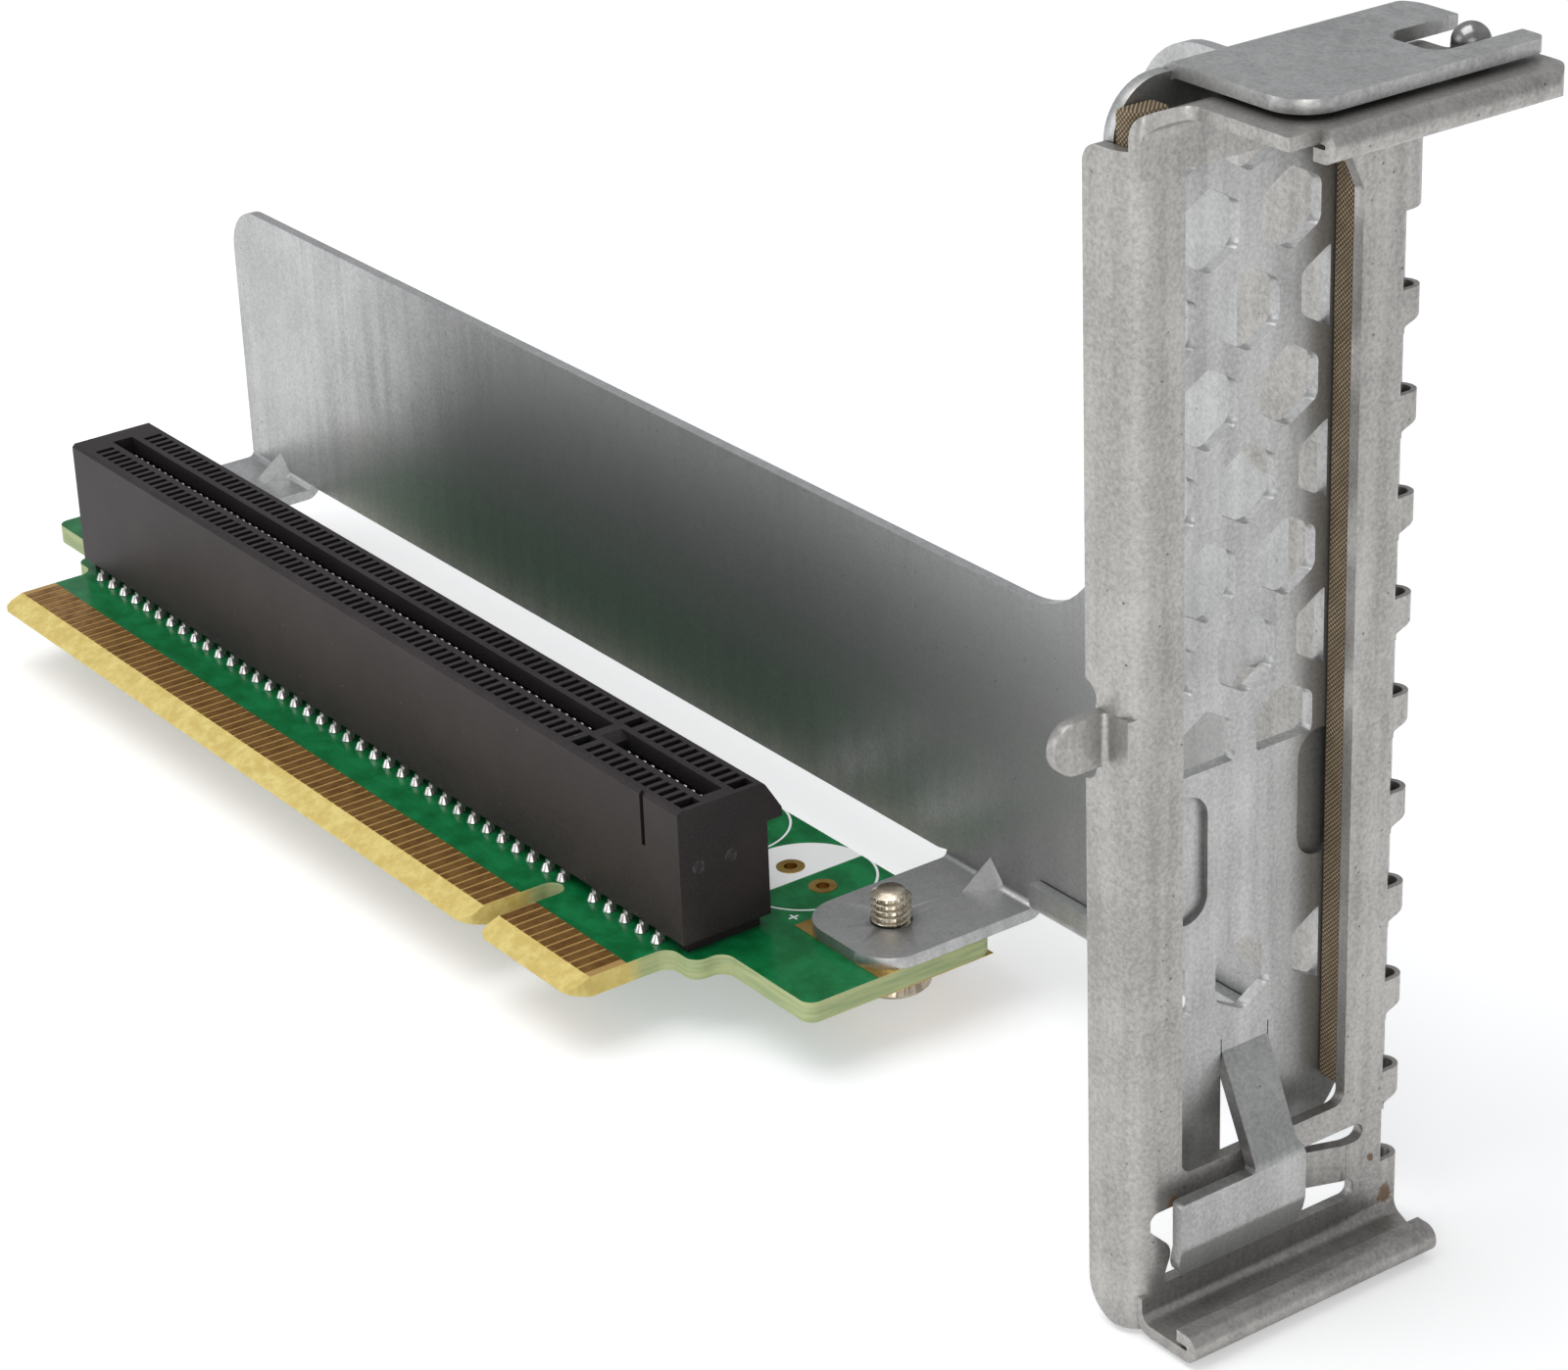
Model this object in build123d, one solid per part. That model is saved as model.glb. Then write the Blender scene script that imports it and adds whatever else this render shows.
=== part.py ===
from build123d import *
import os

# A one-slot riser card for a server, with its steel bracket, rear slot frame and blank
# slot cover. X runs along the card slot towards the rear panel, Y from the gold card
# edge towards the steel spine, and Z up out of the slot. The origin is the middle of
# the slot's key, at the board's upper face. All sizes are in millimetres.

# Contacts of the card slot and of the card edge
contact_pitch = 1.0
key_to_contact = 1.5
short_bank = 11
long_bank = 71

# Board
board_thickness = 1.57
board_near_end = 24.6
board_far_end = -84.9
board_back = 14.95
ear_front = -1.1
step_front = -3.7
step_length = 3.0
outline_radius = 1.1
board_corner_radius = 1.0

# Card edge
edge_key_offset = -0.9
edge_key_to_near_end = 12.6
edge_key_to_far_end = 72.6
edge_front = -12.25
edge_corner_radius = 1.4
edge_key_width = 1.9
edge_key_end = -4.35
bevel_length = 1.9
bevel_depth = 0.69
pad_thickness = 0.05
finger_back = -7.25
finger_width = 0.7

# Slot connector
housing_width = 7.5
housing_height = 11.25
housing_near_end = 13.65
housing_length = 88.25
housing_standoff = 0.9
housing_chamfer = 0.25
slot_width = 1.8
slot_depth = 8.3
slot_near_end = 12.5
slot_far_end = -72.75
slot_key_width = 1.7
channel_outer = 3.05
channel_top_bar = 1.35
pocket_inner = 1.45
pocket_width = 0.56
end_pocket_offset = 1.2
end_pocket_length = 1.0
end_pocket_width = 1.6
end_pocket_depth = 2.4
key_slope_length = 0.75
key_slope_drop = 0.6
rail_width = 2.0
foot_length = 1.0
foot_width = 6.2
peg_diameter = 2.4
peg_length = 2.2
peg_clearance = 0.1
ridge_projection = 1.3
ridge_slope_drop = 2.35
ridge_height = 3.05
ridge_length = 2.4
groove_from_end = 4.6
groove_width = 0.45
groove_depth = 0.3
groove_length = 4.2

# Slot contacts
contact_width = 0.5
contact_stock = 0.4
blade_outer = 2.75
blade_knee = 5.3
tip_height = 9.2
tip_reach = 0.72
outer_tail = 3.8
inner_tail = 1.8

# Capacitor holes
capacitor_x = 9.4
capacitor_y = 9.95
capacitor_lead_pitch = 3.9
capacitor_spacing = 10.6
eyelet_outer = 1.7
eyelet_inner = 1.0
eyelet_flange = 2.1

# Steel bracket: spine, arm and the two tabs on the board
bracket_sheet = 0.9
bracket_bend = 0.5
spine_face = 18.55
spine_top = 24.5
spine_corner_radius = 4.0
spine_gap_height = 1.25
spine_small_radius = 0.4
tab_length_x = 10.1
near_tab_x = 14.8
far_tab_x = -84.9
tab_front = 4.9
tab_corner_radius = 3.2
relief_radius = 1.0
arm_end = 59.2
arm_top = 67.45
arm_bottom = 1.0
arm_left_top = 36.5
arm_left_foot = 31.6
arm_corner_radius = 6.0
arm_fillet = 8.4
arm_end_radius = 1.5
hem_start = 25.4
hem_height = 2.3
hem_gap = 0.1
gusset_half_width = 1.7
gusset_height = 1.9
gusset_depth = 2.6

# Board screws
screw_y = 9.7
screw_from_tab_edge = 5.0
screw_radius = 1.45
screw_clearance = 0.05
board_hole_radius = 1.7
screw_stand = 2.4
screw_head_radius = 2.75
screw_head_height = 2.5
screw_chamfer = 0.3
recess_radius = 1.2
recess_depth = 1.3

# Rear slot frame
frame_sheet = 0.8
frame_bend = 1.2
frame_face = 62.5
flange_face = -4.4
flange_back = 58.3
flange_bottom_radius = 2.5
flange_top_radius = 1.3
frame_right = 16.15
frame_top = 70.6
frame_bottom = -5.6
window_left = -0.5
window_right = 12.9
window_bottom = 4.5
window_top = 70.4
window_radius = 0.8
window_slant_height = 5.6
window_slant_width = 2.7
slot_opening_left = -2.95
slot_opening_right = 14.55
slot_opening_bottom = -2.7
slot_opening_top = 2.55
slot_end_height = 1.25
lug_root = 13.2
low_relief_right = 13.85
low_relief_height = 1.4
bulge_reach = 1.75
bulge_height = -0.4
bulge_foot = 0.85
lug_tip = 8.6
lug_dip = 1.7
lug_bend = 2.0
lug_gap = 0.05
top_flange_top = 73.1
top_flange_neck = -3.95
top_flange_left = -1.05
top_flange_right = 19.1
top_flange_edge = 72.6
top_flange_step = 65.8
top_lip_left = 1.2
bottom_flange_edge = 67.5
bottom_flange_left = -3.7
bottom_flange_right = 16.4
bottom_flange_root = 17.4
roll_gap = 0.3
roll_return = 1.35
loop_share = 0.49
tongue_centre = 34.6
tongue_width = 3.4
tongue_reach = 3.8
tongue_notch = 1.0
tongue_bend = 0.4
finger_count = 10
finger_pitch = 6.545
first_finger_top = -1.06
first_finger_height = 4.1
finger_height = 2.3
finger_slope = 0.7
finger_reach = 1.85
finger_depth = 1.9
finger_return = 0.6
finger_stock = 0.35
finger_root_radius = 0.4
return_top = 70.4
return_bottom = 62.7
return_left = 46.3
return_right = 58.6
return_foot = 6.5
return_notch_top = 41.8
return_notch_bottom = 28.2
return_notch_depth = 5.0
return_radius = 2.4
return_setback = 4.5
return_corner = 0.5

# Locating stud on the frame's top flange
stud_x = 67.0
stud_y = 16.5
stud_radius = 1.17
stud_top = 74.9

# Blank slot cover
cover_sheet = 0.86
cover_bend = 0.2
cover_back = 59.05
cover_left = -3.5
cover_width = 18.42
cover_bottom = 2.0
cover_top = 74.3
cover_corner_radius = 3.4
cover_head_drop = 0.5
cover_foot_radius = 4.0
cover_tab_left = 0.65
cover_tab_right = 18.95
cover_tab_back_right = 18.35
cover_tab_length = 11.43
cover_tab_skirt = 3.0
cover_tab_radius = 2.6
cover_tab_small_radius = 0.8
notch_centre = 66.27
notch_width = 4.45
notch_end = 12.4
notch_radius = 1.2
vent_pitch = 6.2
vent_flats = 4.5
vent_radius = 0.75
vent_centre_y = 6.65
vent_top_row = 69.2
vent_rows = 8
vent_row_share = 0.875
vent_floor = 29.9
vent_left_margin = 2.5
vent_right_margin = 2.1
vent_head_margin = 4.0
low_vent_z = 15.0
emboss_depth = 0.45
emboss_width = 3.4
emboss_height = 8.6
left_emboss_y = 2.0
left_emboss_z = 24.2
right_emboss_y = 12.6
right_emboss_z = 25.6
latch_left = 4.95
latch_right = 8.7
latch_root = 9.9
latch_lean = 4.6
latch_knee = 3.6
latch_foot_left = -1.85
latch_foot_right = 8.3
latch_end = -1.6
latch_curl = 0.3
latch_tip_return = 0.45
latch_bend = 0.6
latch_relief = 0.08
latch_shift = 0.8
latch_corner = 1.1

# Conductive gaskets between the frame and the cover
gasket_width = 1.6
left_gasket_width = 2.75
gasket_radius = 1.25
gasket_clearance = 0.05
gasket_bottom = 5.4
gasket_top = 72.6


def contact_positions():
    """X of every contact, counted from the near end past the key to the far end."""
    near = [key_to_contact + contact_pitch * i for i in reversed(range(short_bank))]
    far = [-key_to_contact - contact_pitch * i for i in range(long_bank)]
    return near + far


def outline(points, radii):
    """A closed face through the points, each corner rounded to its own radius."""
    return make_face(FilletPolyline(*points, radius=radii, close=True))


def bent_sheet(plane, points, radii, sheet, width):
    """Sheet metal whose middle line follows the points, extruded along the plane's normal."""
    path = FilletPolyline(*points, radius=radii)
    return extrude(plane * trace(path, sheet), width)


def box_between(low, high):
    """A box given by its two opposite corners."""
    size = [high[i] - low[i] for i in range(3)]
    return Pos(*low) * Box(*size, align=(Align.MIN, Align.MIN, Align.MIN))


def wall_plane(x):
    """A plane whose sketch axes are the model's Y and Z, looking along X."""
    return Plane(origin=(x, 0, 0), x_dir=(0, 1, 0), z_dir=(1, 0, 0))


def side_plane(y):
    """A plane whose sketch axes are the model's X and Z, with its normal along -Y."""
    return Plane(origin=(0, y, 0), x_dir=(1, 0, 0), z_dir=(0, -1, 0))


def flat_plane(z):
    """A plane whose sketch axes are the model's X and Y, looking along Z."""
    return Plane(origin=(0, 0, z), x_dir=(1, 0, 0), z_dir=(0, 0, 1))


edge_near = edge_key_offset + edge_key_to_near_end
edge_far = edge_key_offset - edge_key_to_far_end
near_screw_x = near_tab_x + screw_from_tab_edge
far_screw_x = far_tab_x + tab_length_x - screw_from_tab_edge
housing_far_end = housing_near_end - housing_length
peg_places = [(0, 0), (housing_far_end + foot_length, 0)]


def capacitor_holes():
    """Centres of the plated holes of the two unfitted capacitors."""
    half = capacitor_lead_pitch / 2
    centres = [capacitor_x, capacitor_x - capacitor_spacing]
    return [(c + side * half, capacitor_y) for c in centres for side in (-1, 1)]


def circuit_board():
    """Board with the card edge in front and an ear at each end for the bracket's tabs."""
    ear, step = outline_radius, step_front
    points = [
        (edge_far, edge_front), (edge_near, edge_front), (edge_near, step),
        (edge_near + step_length, step), (edge_near + step_length, ear_front),
        (board_near_end, ear_front), (board_near_end, board_back),
        (board_far_end, board_back), (board_far_end, ear_front),
        (edge_far - step_length, ear_front), (edge_far - step_length, step),
        (edge_far, step),
    ]
    corner, lead = board_corner_radius, edge_corner_radius
    radii = [lead, lead, ear, ear, ear, corner, corner, corner, corner, ear, ear, ear]
    board = extrude(flat_plane(-board_thickness) * outline(points, radii), board_thickness)
    half = board_thickness / 2
    for side in (-1, 1):
        wedge = [
            (edge_front, side * half), (edge_front, side * (half - bevel_depth)),
            (edge_front + bevel_length, side * half),
        ]
        face = make_face(Polyline(*wedge, close=True))
        board -= extrude(Pos(0, 0, -half) * wall_plane(edge_far - 1) * face,
                         edge_near - edge_far + 2)
    half_key = edge_key_width / 2
    notch = SlotOverall(2 * (edge_key_end - edge_front), edge_key_width, rotation=90)
    board -= extrude(flat_plane(-board_thickness) * Pos(edge_key_offset, edge_front) * notch,
                     board_thickness)
    for x in (near_screw_x, far_screw_x):
        board -= Pos(x, screw_y, -half) * Cylinder(board_hole_radius, board_thickness)
    for x, y in capacitor_holes():
        board -= Pos(x, y, -half) * Cylinder(eyelet_outer / 2, board_thickness)
    for x, y in peg_places:
        radius = peg_diameter / 2 + peg_clearance
        board -= Pos(x, y, -half) * Cylinder(radius, board_thickness)
    return board


def edge_contacts(face_z, direction):
    """The row of gold fingers on one face of the card edge."""
    length = finger_back - edge_front - bevel_length
    finger = Box(finger_width, length, pad_thickness)
    y = finger_back - length / 2
    z = face_z + direction * pad_thickness / 2
    places = [x + edge_key_offset for x in contact_positions()]
    return Compound(children=[Pos(x, y, z) * finger for x in places])


def ground_pads(face_z, direction):
    """Bare gold land under each of the bracket's tabs, with the screw's hole through it."""
    pads = []
    length = board_back - tab_front
    for x, screw_x in ((near_tab_x, near_screw_x), (far_tab_x, far_screw_x)):
        low, high = x, min(x + tab_length_x, board_near_end)
        pad = Pos((low + high) / 2, tab_front + length / 2) * Box(high - low, length, pad_thickness)
        pad -= Pos(screw_x, screw_y) * Cylinder(board_hole_radius, pad_thickness)
        pads.append(Pos(0, 0, face_z + direction * pad_thickness / 2) * pad)
    return Compound(children=pads)


def capacitor_eyelets():
    """Plated barrels of the two pairs of capacitor holes."""
    profile = [
        (eyelet_inner / 2, -board_thickness - pad_thickness),
        (eyelet_flange / 2, -board_thickness - pad_thickness),
        (eyelet_flange / 2, -board_thickness), (eyelet_outer / 2, -board_thickness),
        (eyelet_outer / 2, 0), (eyelet_flange / 2, 0),
        (eyelet_flange / 2, pad_thickness), (eyelet_inner / 2, pad_thickness),
    ]
    barrel = revolve(Plane.XZ * make_face(Polyline(*profile, close=True)), Axis.Z)
    return Compound(children=[Pos(x, y, 0) * barrel for x, y in capacitor_holes()])


def slot_housing():
    """Moulded connector body with its key, contact pockets, pegs and retention ridge."""
    half = housing_width / 2
    body = box_between((housing_far_end, -half, housing_standoff),
                       (housing_near_end, half, housing_height))
    body = chamfer(body.edges().filter_by(Axis.X).sort_by(Axis.Z)[-2:], housing_chamfer)
    base_near = housing_near_end - foot_length / 2
    base_far = housing_far_end + foot_length / 2
    for low, high in ((base_near - foot_length, base_near), (base_far, base_far + foot_length)):
        body += box_between((low, -foot_width / 2, 0), (high, foot_width / 2, housing_standoff))
    body += box_between((base_far, -rail_width / 2, 0), (base_near, rail_width / 2, housing_standoff))

    floor = housing_height - slot_depth
    bar = housing_height - channel_top_bar
    for low, high in ((slot_far_end, -slot_key_width / 2), (slot_key_width / 2, slot_near_end)):
        body -= box_between((low, -slot_width / 2, floor), (high, slot_width / 2, housing_height))
        for side in (-1, 1):
            inner, outer = sorted((side * slot_width / 2, side * channel_outer))
            body -= box_between((low, inner, floor), (high, outer, bar))
            inner, outer = sorted((side * (blade_outer - contact_stock - pad_thickness),
                                   side * channel_outer))
            body -= box_between((low, inner, 0), (high, outer, floor))

    depth = channel_outer - pocket_inner
    centre = (channel_outer + pocket_inner) / 2
    pocket = Box(pocket_width, depth, channel_top_bar)
    square = Box(end_pocket_length, end_pocket_width, end_pocket_depth)
    z = housing_height - channel_top_bar / 2
    low_z = housing_height - end_pocket_depth / 2
    places = contact_positions()
    tools = [Pos(x, side * centre, z) * pocket for x in places for side in (-1, 1)]
    tools += [Pos(x, side * centre, low_z) * square
              for x in (places[0] + end_pocket_offset, 0) for side in (-1, 1)]
    body -= tools
    half_key = slot_key_width / 2
    slope = [(half_key, housing_height), (half_key - key_slope_length, housing_height),
             (half_key, housing_height - key_slope_drop)]
    body -= extrude(side_plane(slot_width / 2) * make_face(Polyline(*slope, close=True)), slot_width)

    crest = half + ridge_projection
    ridge = [
        (half, housing_height - housing_chamfer), (crest, housing_height - ridge_slope_drop),
        (crest, housing_height - ridge_height), (half, housing_height - ridge_height),
    ]
    face = make_face(Polyline(*ridge, close=True))
    body += extrude(wall_plane(housing_near_end - ridge_length) * face, ridge_length)

    groove_x = housing_near_end - groove_from_end
    body -= box_between((groove_x, -half, housing_height - groove_length),
                        (groove_x + groove_width, -half + groove_depth, housing_height))
    for x, y in peg_places:
        peg = Pos(x, y, -peg_length / 2) * Cylinder(peg_diameter / 2, peg_length)
        body += peg
    return body


def slot_contacts(side, tail, first):
    """Every second spring contact of one row, all with the same tail."""
    stock = contact_stock
    profile = [
        (tail, 0), (tail - stock, 0), (tail - stock, stock),
        (blade_outer - stock, stock), (blade_outer - stock, blade_knee),
        (tip_reach, tip_height), (blade_outer, blade_knee + stock),
        (blade_outer, 2 * stock), (tail, 2 * stock),
    ]
    if tail < blade_outer:
        profile = [
            (tail, 0), (tail - stock, 0), (tail - stock, 2 * stock),
            (blade_outer - stock, 2 * stock), (blade_outer - stock, blade_knee),
            (tip_reach, tip_height), (blade_outer, blade_knee + stock),
            (blade_outer, stock), (tail, stock),
        ]
    face = make_face(Polyline(*[(side * y, z) for y, z in profile], close=True))
    contact = extrude(wall_plane(-contact_width / 2) * face, contact_width)
    places = contact_positions()[first::2]
    return Compound(children=[Pos(x, 0, 0) * contact for x in places])


def spine_outline():
    """Flat outline of the bracket's spine and the tall arm at its rear-panel end."""
    near_tab_end = near_tab_x + tab_length_x
    far_tab_end = far_tab_x + tab_length_x
    bend_top = pad_thickness + bracket_sheet + bracket_bend
    points = [
        (far_tab_x, bend_top), (far_tab_end, bend_top), (far_tab_end + relief_radius, spine_gap_height),
        (near_tab_x - relief_radius, spine_gap_height), (near_tab_x, bend_top),
        (near_tab_end, bend_top), (near_tab_end, arm_bottom), (arm_end, arm_bottom),
        (arm_end, arm_top), (arm_left_top, arm_top), (arm_left_foot, spine_top),
        (far_tab_x, spine_top),
    ]
    small = spine_small_radius
    radii = [0, 0, small, small, 0, 0, 0, small, arm_end_radius, arm_corner_radius, arm_fillet,
             spine_corner_radius]
    return outline(points, radii)


def bracket_tab(low, screw_x):
    """Tab that folds off the spine and lies on the board's ear, threaded for the screw."""
    middle_y = spine_face + bracket_sheet / 2
    middle_z = pad_thickness + bracket_sheet / 2
    bend_top = pad_thickness + bracket_sheet + bracket_bend
    radius = bracket_bend + bracket_sheet / 2
    tab = bent_sheet(wall_plane(low), [(tab_front, middle_z), (middle_y, middle_z), (middle_y, bend_top)],
                     [radius], bracket_sheet, tab_length_x)
    corner = tab_corner_radius
    back = spine_face + bracket_sheet
    points = [(low, tab_front), (low + tab_length_x, tab_front), (low + tab_length_x, back), (low, back)]
    tab &= extrude(flat_plane(0) * outline(points, [corner, corner, 0, 0]), bend_top)
    tab -= Pos(screw_x, screw_y, middle_z) * Cylinder(screw_radius + screw_clearance, bracket_sheet)
    return tab


def gusset(x):
    """Dart pressed across the fold to stiffen it."""
    top = pad_thickness + bracket_sheet
    sink = bracket_sheet / 2
    bottom = (spine_face + sink, top - sink)
    foot = (spine_face - gusset_depth, top)
    head = (spine_face, top + gusset_height)
    corners = [(x, *foot), (x, *head), (x - gusset_half_width, spine_face, top),
               (x + gusset_half_width, spine_face, top)]
    faces = []
    for a, b, c in ((0, 1, 2), (0, 1, 3), (0, 2, 3), (1, 2, 3)):
        wire = Wire.make_polygon([corners[a], corners[b], corners[c]], close=True)
        faces.append(Face(wire))
    return Solid(Shell(faces))


def riser_bracket():
    """One folded sheet: spine, tall arm, two board tabs and the hem along its foot."""
    bracket = extrude(side_plane(spine_face + bracket_sheet) * spine_outline(), bracket_sheet)
    for low, screw_x in ((near_tab_x, near_screw_x), (far_tab_x, far_screw_x)):
        bracket += bracket_tab(low, screw_x)
        bracket += gusset(low + tab_length_x / 2)
    middle = spine_face + bracket_sheet / 2
    fold = bracket_sheet + hem_gap
    foot = arm_bottom + bracket_sheet / 2
    path = [(middle, foot + hem_height), (middle, foot), (middle - fold, foot),
            (middle - fold, arm_bottom + hem_height)]
    bracket += bent_sheet(wall_plane(hem_start), path, [fold * loop_share, fold * loop_share],
                          bracket_sheet, arm_end - hem_start)
    return bracket


def board_screw(x):
    """Pan-head screw from under the board into the tab's thread; the thread is left plain."""
    under = -board_thickness - pad_thickness
    top = pad_thickness + bracket_sheet + screw_stand
    head = under - screw_head_height
    profile = [
        (0, head), (screw_head_radius - screw_chamfer, head), (screw_head_radius, head + screw_chamfer),
        (screw_head_radius, under), (screw_radius, under), (screw_radius, top - screw_chamfer),
        (screw_radius - screw_chamfer, top), (0, top),
    ]
    screw = revolve(Plane.XZ * make_face(Polyline(*profile, close=True)), Axis.Z)
    cross = Box(2 * recess_radius, recess_radius / 2, recess_depth)
    cross += Rot(0, 0, 90) * cross
    screw -= Pos(0, 0, head + recess_depth / 2) * cross
    return Pos(x, screw_y, 0) * screw


def bottom_flange():
    """Flange that leaves the frame's foot outwards and ends in a lip rolled upwards."""
    half = frame_sheet / 2
    wall = frame_face - half
    base = frame_bottom + half
    rise = frame_sheet + roll_gap
    end = bottom_flange_edge - half
    path = [(wall, frame_bottom + 3 * frame_sheet), (wall, base), (end, base), (end, base + rise),
            (end - roll_return, base + rise)]
    radii = [frame_bend, rise * loop_share, rise * loop_share]
    strip = bent_sheet(side_plane(bottom_flange_root), path, radii, frame_sheet,
                       bottom_flange_root - bottom_flange_left)
    edge, root = bottom_flange_edge, frame_face - 2 * frame_sheet
    lip = edge - roll_return - frame_sheet
    points = [(root, bottom_flange_left), (edge, bottom_flange_left), (edge, bottom_flange_right),
              (lip, bottom_flange_right), (frame_face, bottom_flange_root), (root, bottom_flange_root)]
    return strip & extrude(flat_plane(frame_bottom) * make_face(Polyline(*points, close=True)),
                           3 * frame_sheet)


def top_flange():
    """Flange that leaves the frame's head outwards and ends in a lip rolled downwards."""
    half = frame_sheet / 2
    wall = frame_face - half
    high = top_flange_top - half
    end = top_flange_edge - half
    low = frame_top - 2 * frame_sheet
    width = top_flange_right - top_flange_neck
    sheet = bent_sheet(side_plane(top_flange_right), [(wall, low), (wall, high), (end - frame_sheet, high)],
                       [frame_bend + half], frame_sheet, width)
    drop = frame_sheet + roll_gap
    path = [(end - 2 * roll_return, high), (end, high), (end, high - drop), (end - roll_return, high - drop)]
    lip = bent_sheet(side_plane(top_flange_right), path, [drop * loop_share, drop * loop_share],
                     frame_sheet, top_flange_right - top_lip_left)
    root = frame_face - 2 * frame_sheet
    bend_end = frame_face + frame_bend
    points = [
        (root, top_flange_neck), (frame_face, top_flange_neck), (bend_end, top_flange_left),
        (top_flange_edge, top_flange_left), (top_flange_edge, top_flange_right),
        (top_flange_step, top_flange_right), (top_flange_step, frame_right), (root, frame_right),
    ]
    small, large = frame_sheet, 2 * frame_sheet
    radii = [0, small, small, large, large, small, small, 0]
    return (sheet + lip) & extrude(flat_plane(low) * outline(points, radii), top_flange_top - low)


def frame_wall():
    """Face and left flange of the frame with its window, whose top right corner is cut off."""
    half = frame_sheet / 2
    path = [(flange_back, flange_face + half), (frame_face - half, flange_face + half),
            (frame_face - half, frame_right)]
    height = frame_top - frame_bottom
    wall = bent_sheet(flat_plane(frame_bottom), path, [frame_bend + half], frame_sheet, height)
    side = [(flange_back, frame_bottom), (frame_face, frame_bottom),
            (frame_face, frame_top), (flange_back, frame_top)]
    radii = [flange_bottom_radius, 0, 0, flange_top_radius]
    wall &= extrude(side_plane(frame_right) * outline(side, radii), frame_right - flange_face)
    window = [(window_left, window_bottom), (window_right, window_bottom),
              (window_right, window_top - window_slant_height),
              (window_right - window_slant_width, window_top), (window_left, window_top)]
    reach = 2 * frame_sheet
    return wall - extrude(wall_plane(frame_face - reach) * outline(window, window_radius), 2 * reach)


def lower_opening():
    """Cutter for the opening below the window, up to the root of the springy lug."""
    left, right = slot_opening_left, slot_opening_right
    low, high = slot_opening_bottom, slot_opening_top
    under, over = high - slot_end_height, low + low_relief_height
    points = [
        (left, high), (right, high), (right, under), (lug_root, under), (lug_root, over),
        (low_relief_right, over), (low_relief_right, low), (left + bulge_foot, low),
        (left + bulge_reach, bulge_height), (left, under),
    ]
    tip, low_tip = slot_end_height * loop_share, low_relief_height * loop_share
    fold = lug_gap
    low_tip = min(low_tip, low_relief_right - lug_root - 2 * fold)
    radii = [tip, tip, tip, fold, fold, low_tip, low_tip, frame_sheet / 4, frame_bend, tip * loop_share]
    reach = 2 * frame_sheet
    return extrude(wall_plane(frame_face - reach) * outline(points, radii), 2 * reach)


def spring_lug():
    """Lug between the opening's two reliefs, bent inwards to bear on the cover."""
    half = frame_sheet / 2
    middle = frame_face - half
    low = slot_opening_bottom + low_relief_height
    high = slot_opening_top - slot_end_height
    path = [(middle, slot_opening_right + frame_sheet), (middle, lug_root), (middle - lug_dip, lug_tip)]
    return bent_sheet(flat_plane(low), path, [lug_bend], frame_sheet, high - low)


def spring_finger(top, height):
    """One contact finger curled back on itself along the frame's right edge."""
    stock = finger_stock
    front = frame_face - stock / 2
    back = frame_face - finger_depth + stock / 2
    root = frame_right - frame_sheet
    outer = frame_right + finger_reach - stock / 2
    low = top - height
    flare = finger_root_radius
    radius = (front - back) * loop_share
    path = [(front, root), (front, outer), (back, outer), (back, outer - radius - finger_return)]
    curl = bent_sheet(flat_plane(low - flare), path, [radius, radius], stock, height + flare)
    edge = outer + stock
    side = [(root - finger_reach, low - flare), (frame_right + stock / 2, low - flare),
            (frame_right + stock / 2, low), (edge, low + finger_slope), (edge, top),
            (root - finger_reach, top)]
    mask = outline(side, [0, 0, flare * loop_share, flare, 0, 0])
    return curl & extrude(wall_plane(frame_face - 2 * finger_depth) * mask, 3 * finger_depth)


def side_tongue():
    """Round tongue turned outwards from the back edge of the left flange."""
    half = frame_sheet / 2
    middle = flange_face + half
    back = flange_back + tongue_notch + half
    tip = flange_face - tongue_reach
    path = [(back + 2 * frame_bend, middle), (back, middle), (back, tip)]
    low = tongue_centre - tongue_width / 2
    strip = bent_sheet(flat_plane(low), path, [half + tongue_bend], frame_sheet, tongue_width)
    round_end = tongue_width * loop_share
    inside = middle + frame_sheet
    side = [(tip, low), (inside, low), (inside, low + tongue_width), (tip, low + tongue_width)]
    face = outline(side, [round_end, 0, 0, round_end])
    return strip & extrude(wall_plane(back - half) * face, 2 * frame_bend + frame_sheet)


def return_flange():
    """Flange that folds back from the frame's upper right edge and lies on the arm."""
    half = frame_sheet / 2
    middle_x = frame_face - half
    middle_y = spine_face - half
    path = [(middle_x, frame_right - frame_bend), (middle_x, middle_y), (return_right, middle_y)]
    fold = bent_sheet(flat_plane(return_bottom), path, [frame_bend + half], frame_sheet,
                      return_top - return_bottom)
    depth = return_left + return_notch_depth
    corner = return_top - return_setback
    points = [
        (return_left, return_foot), (return_right, return_foot), (return_right, corner),
        (return_left, corner), (return_left, return_notch_top), (depth, return_notch_top),
        (depth, return_notch_bottom), (return_left, return_notch_bottom),
    ]
    large, small = return_radius, return_corner
    radii = [large, small, small, large, large, large, large, large]
    return fold + extrude(side_plane(spine_face) * outline(points, radii), frame_sheet)


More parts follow.
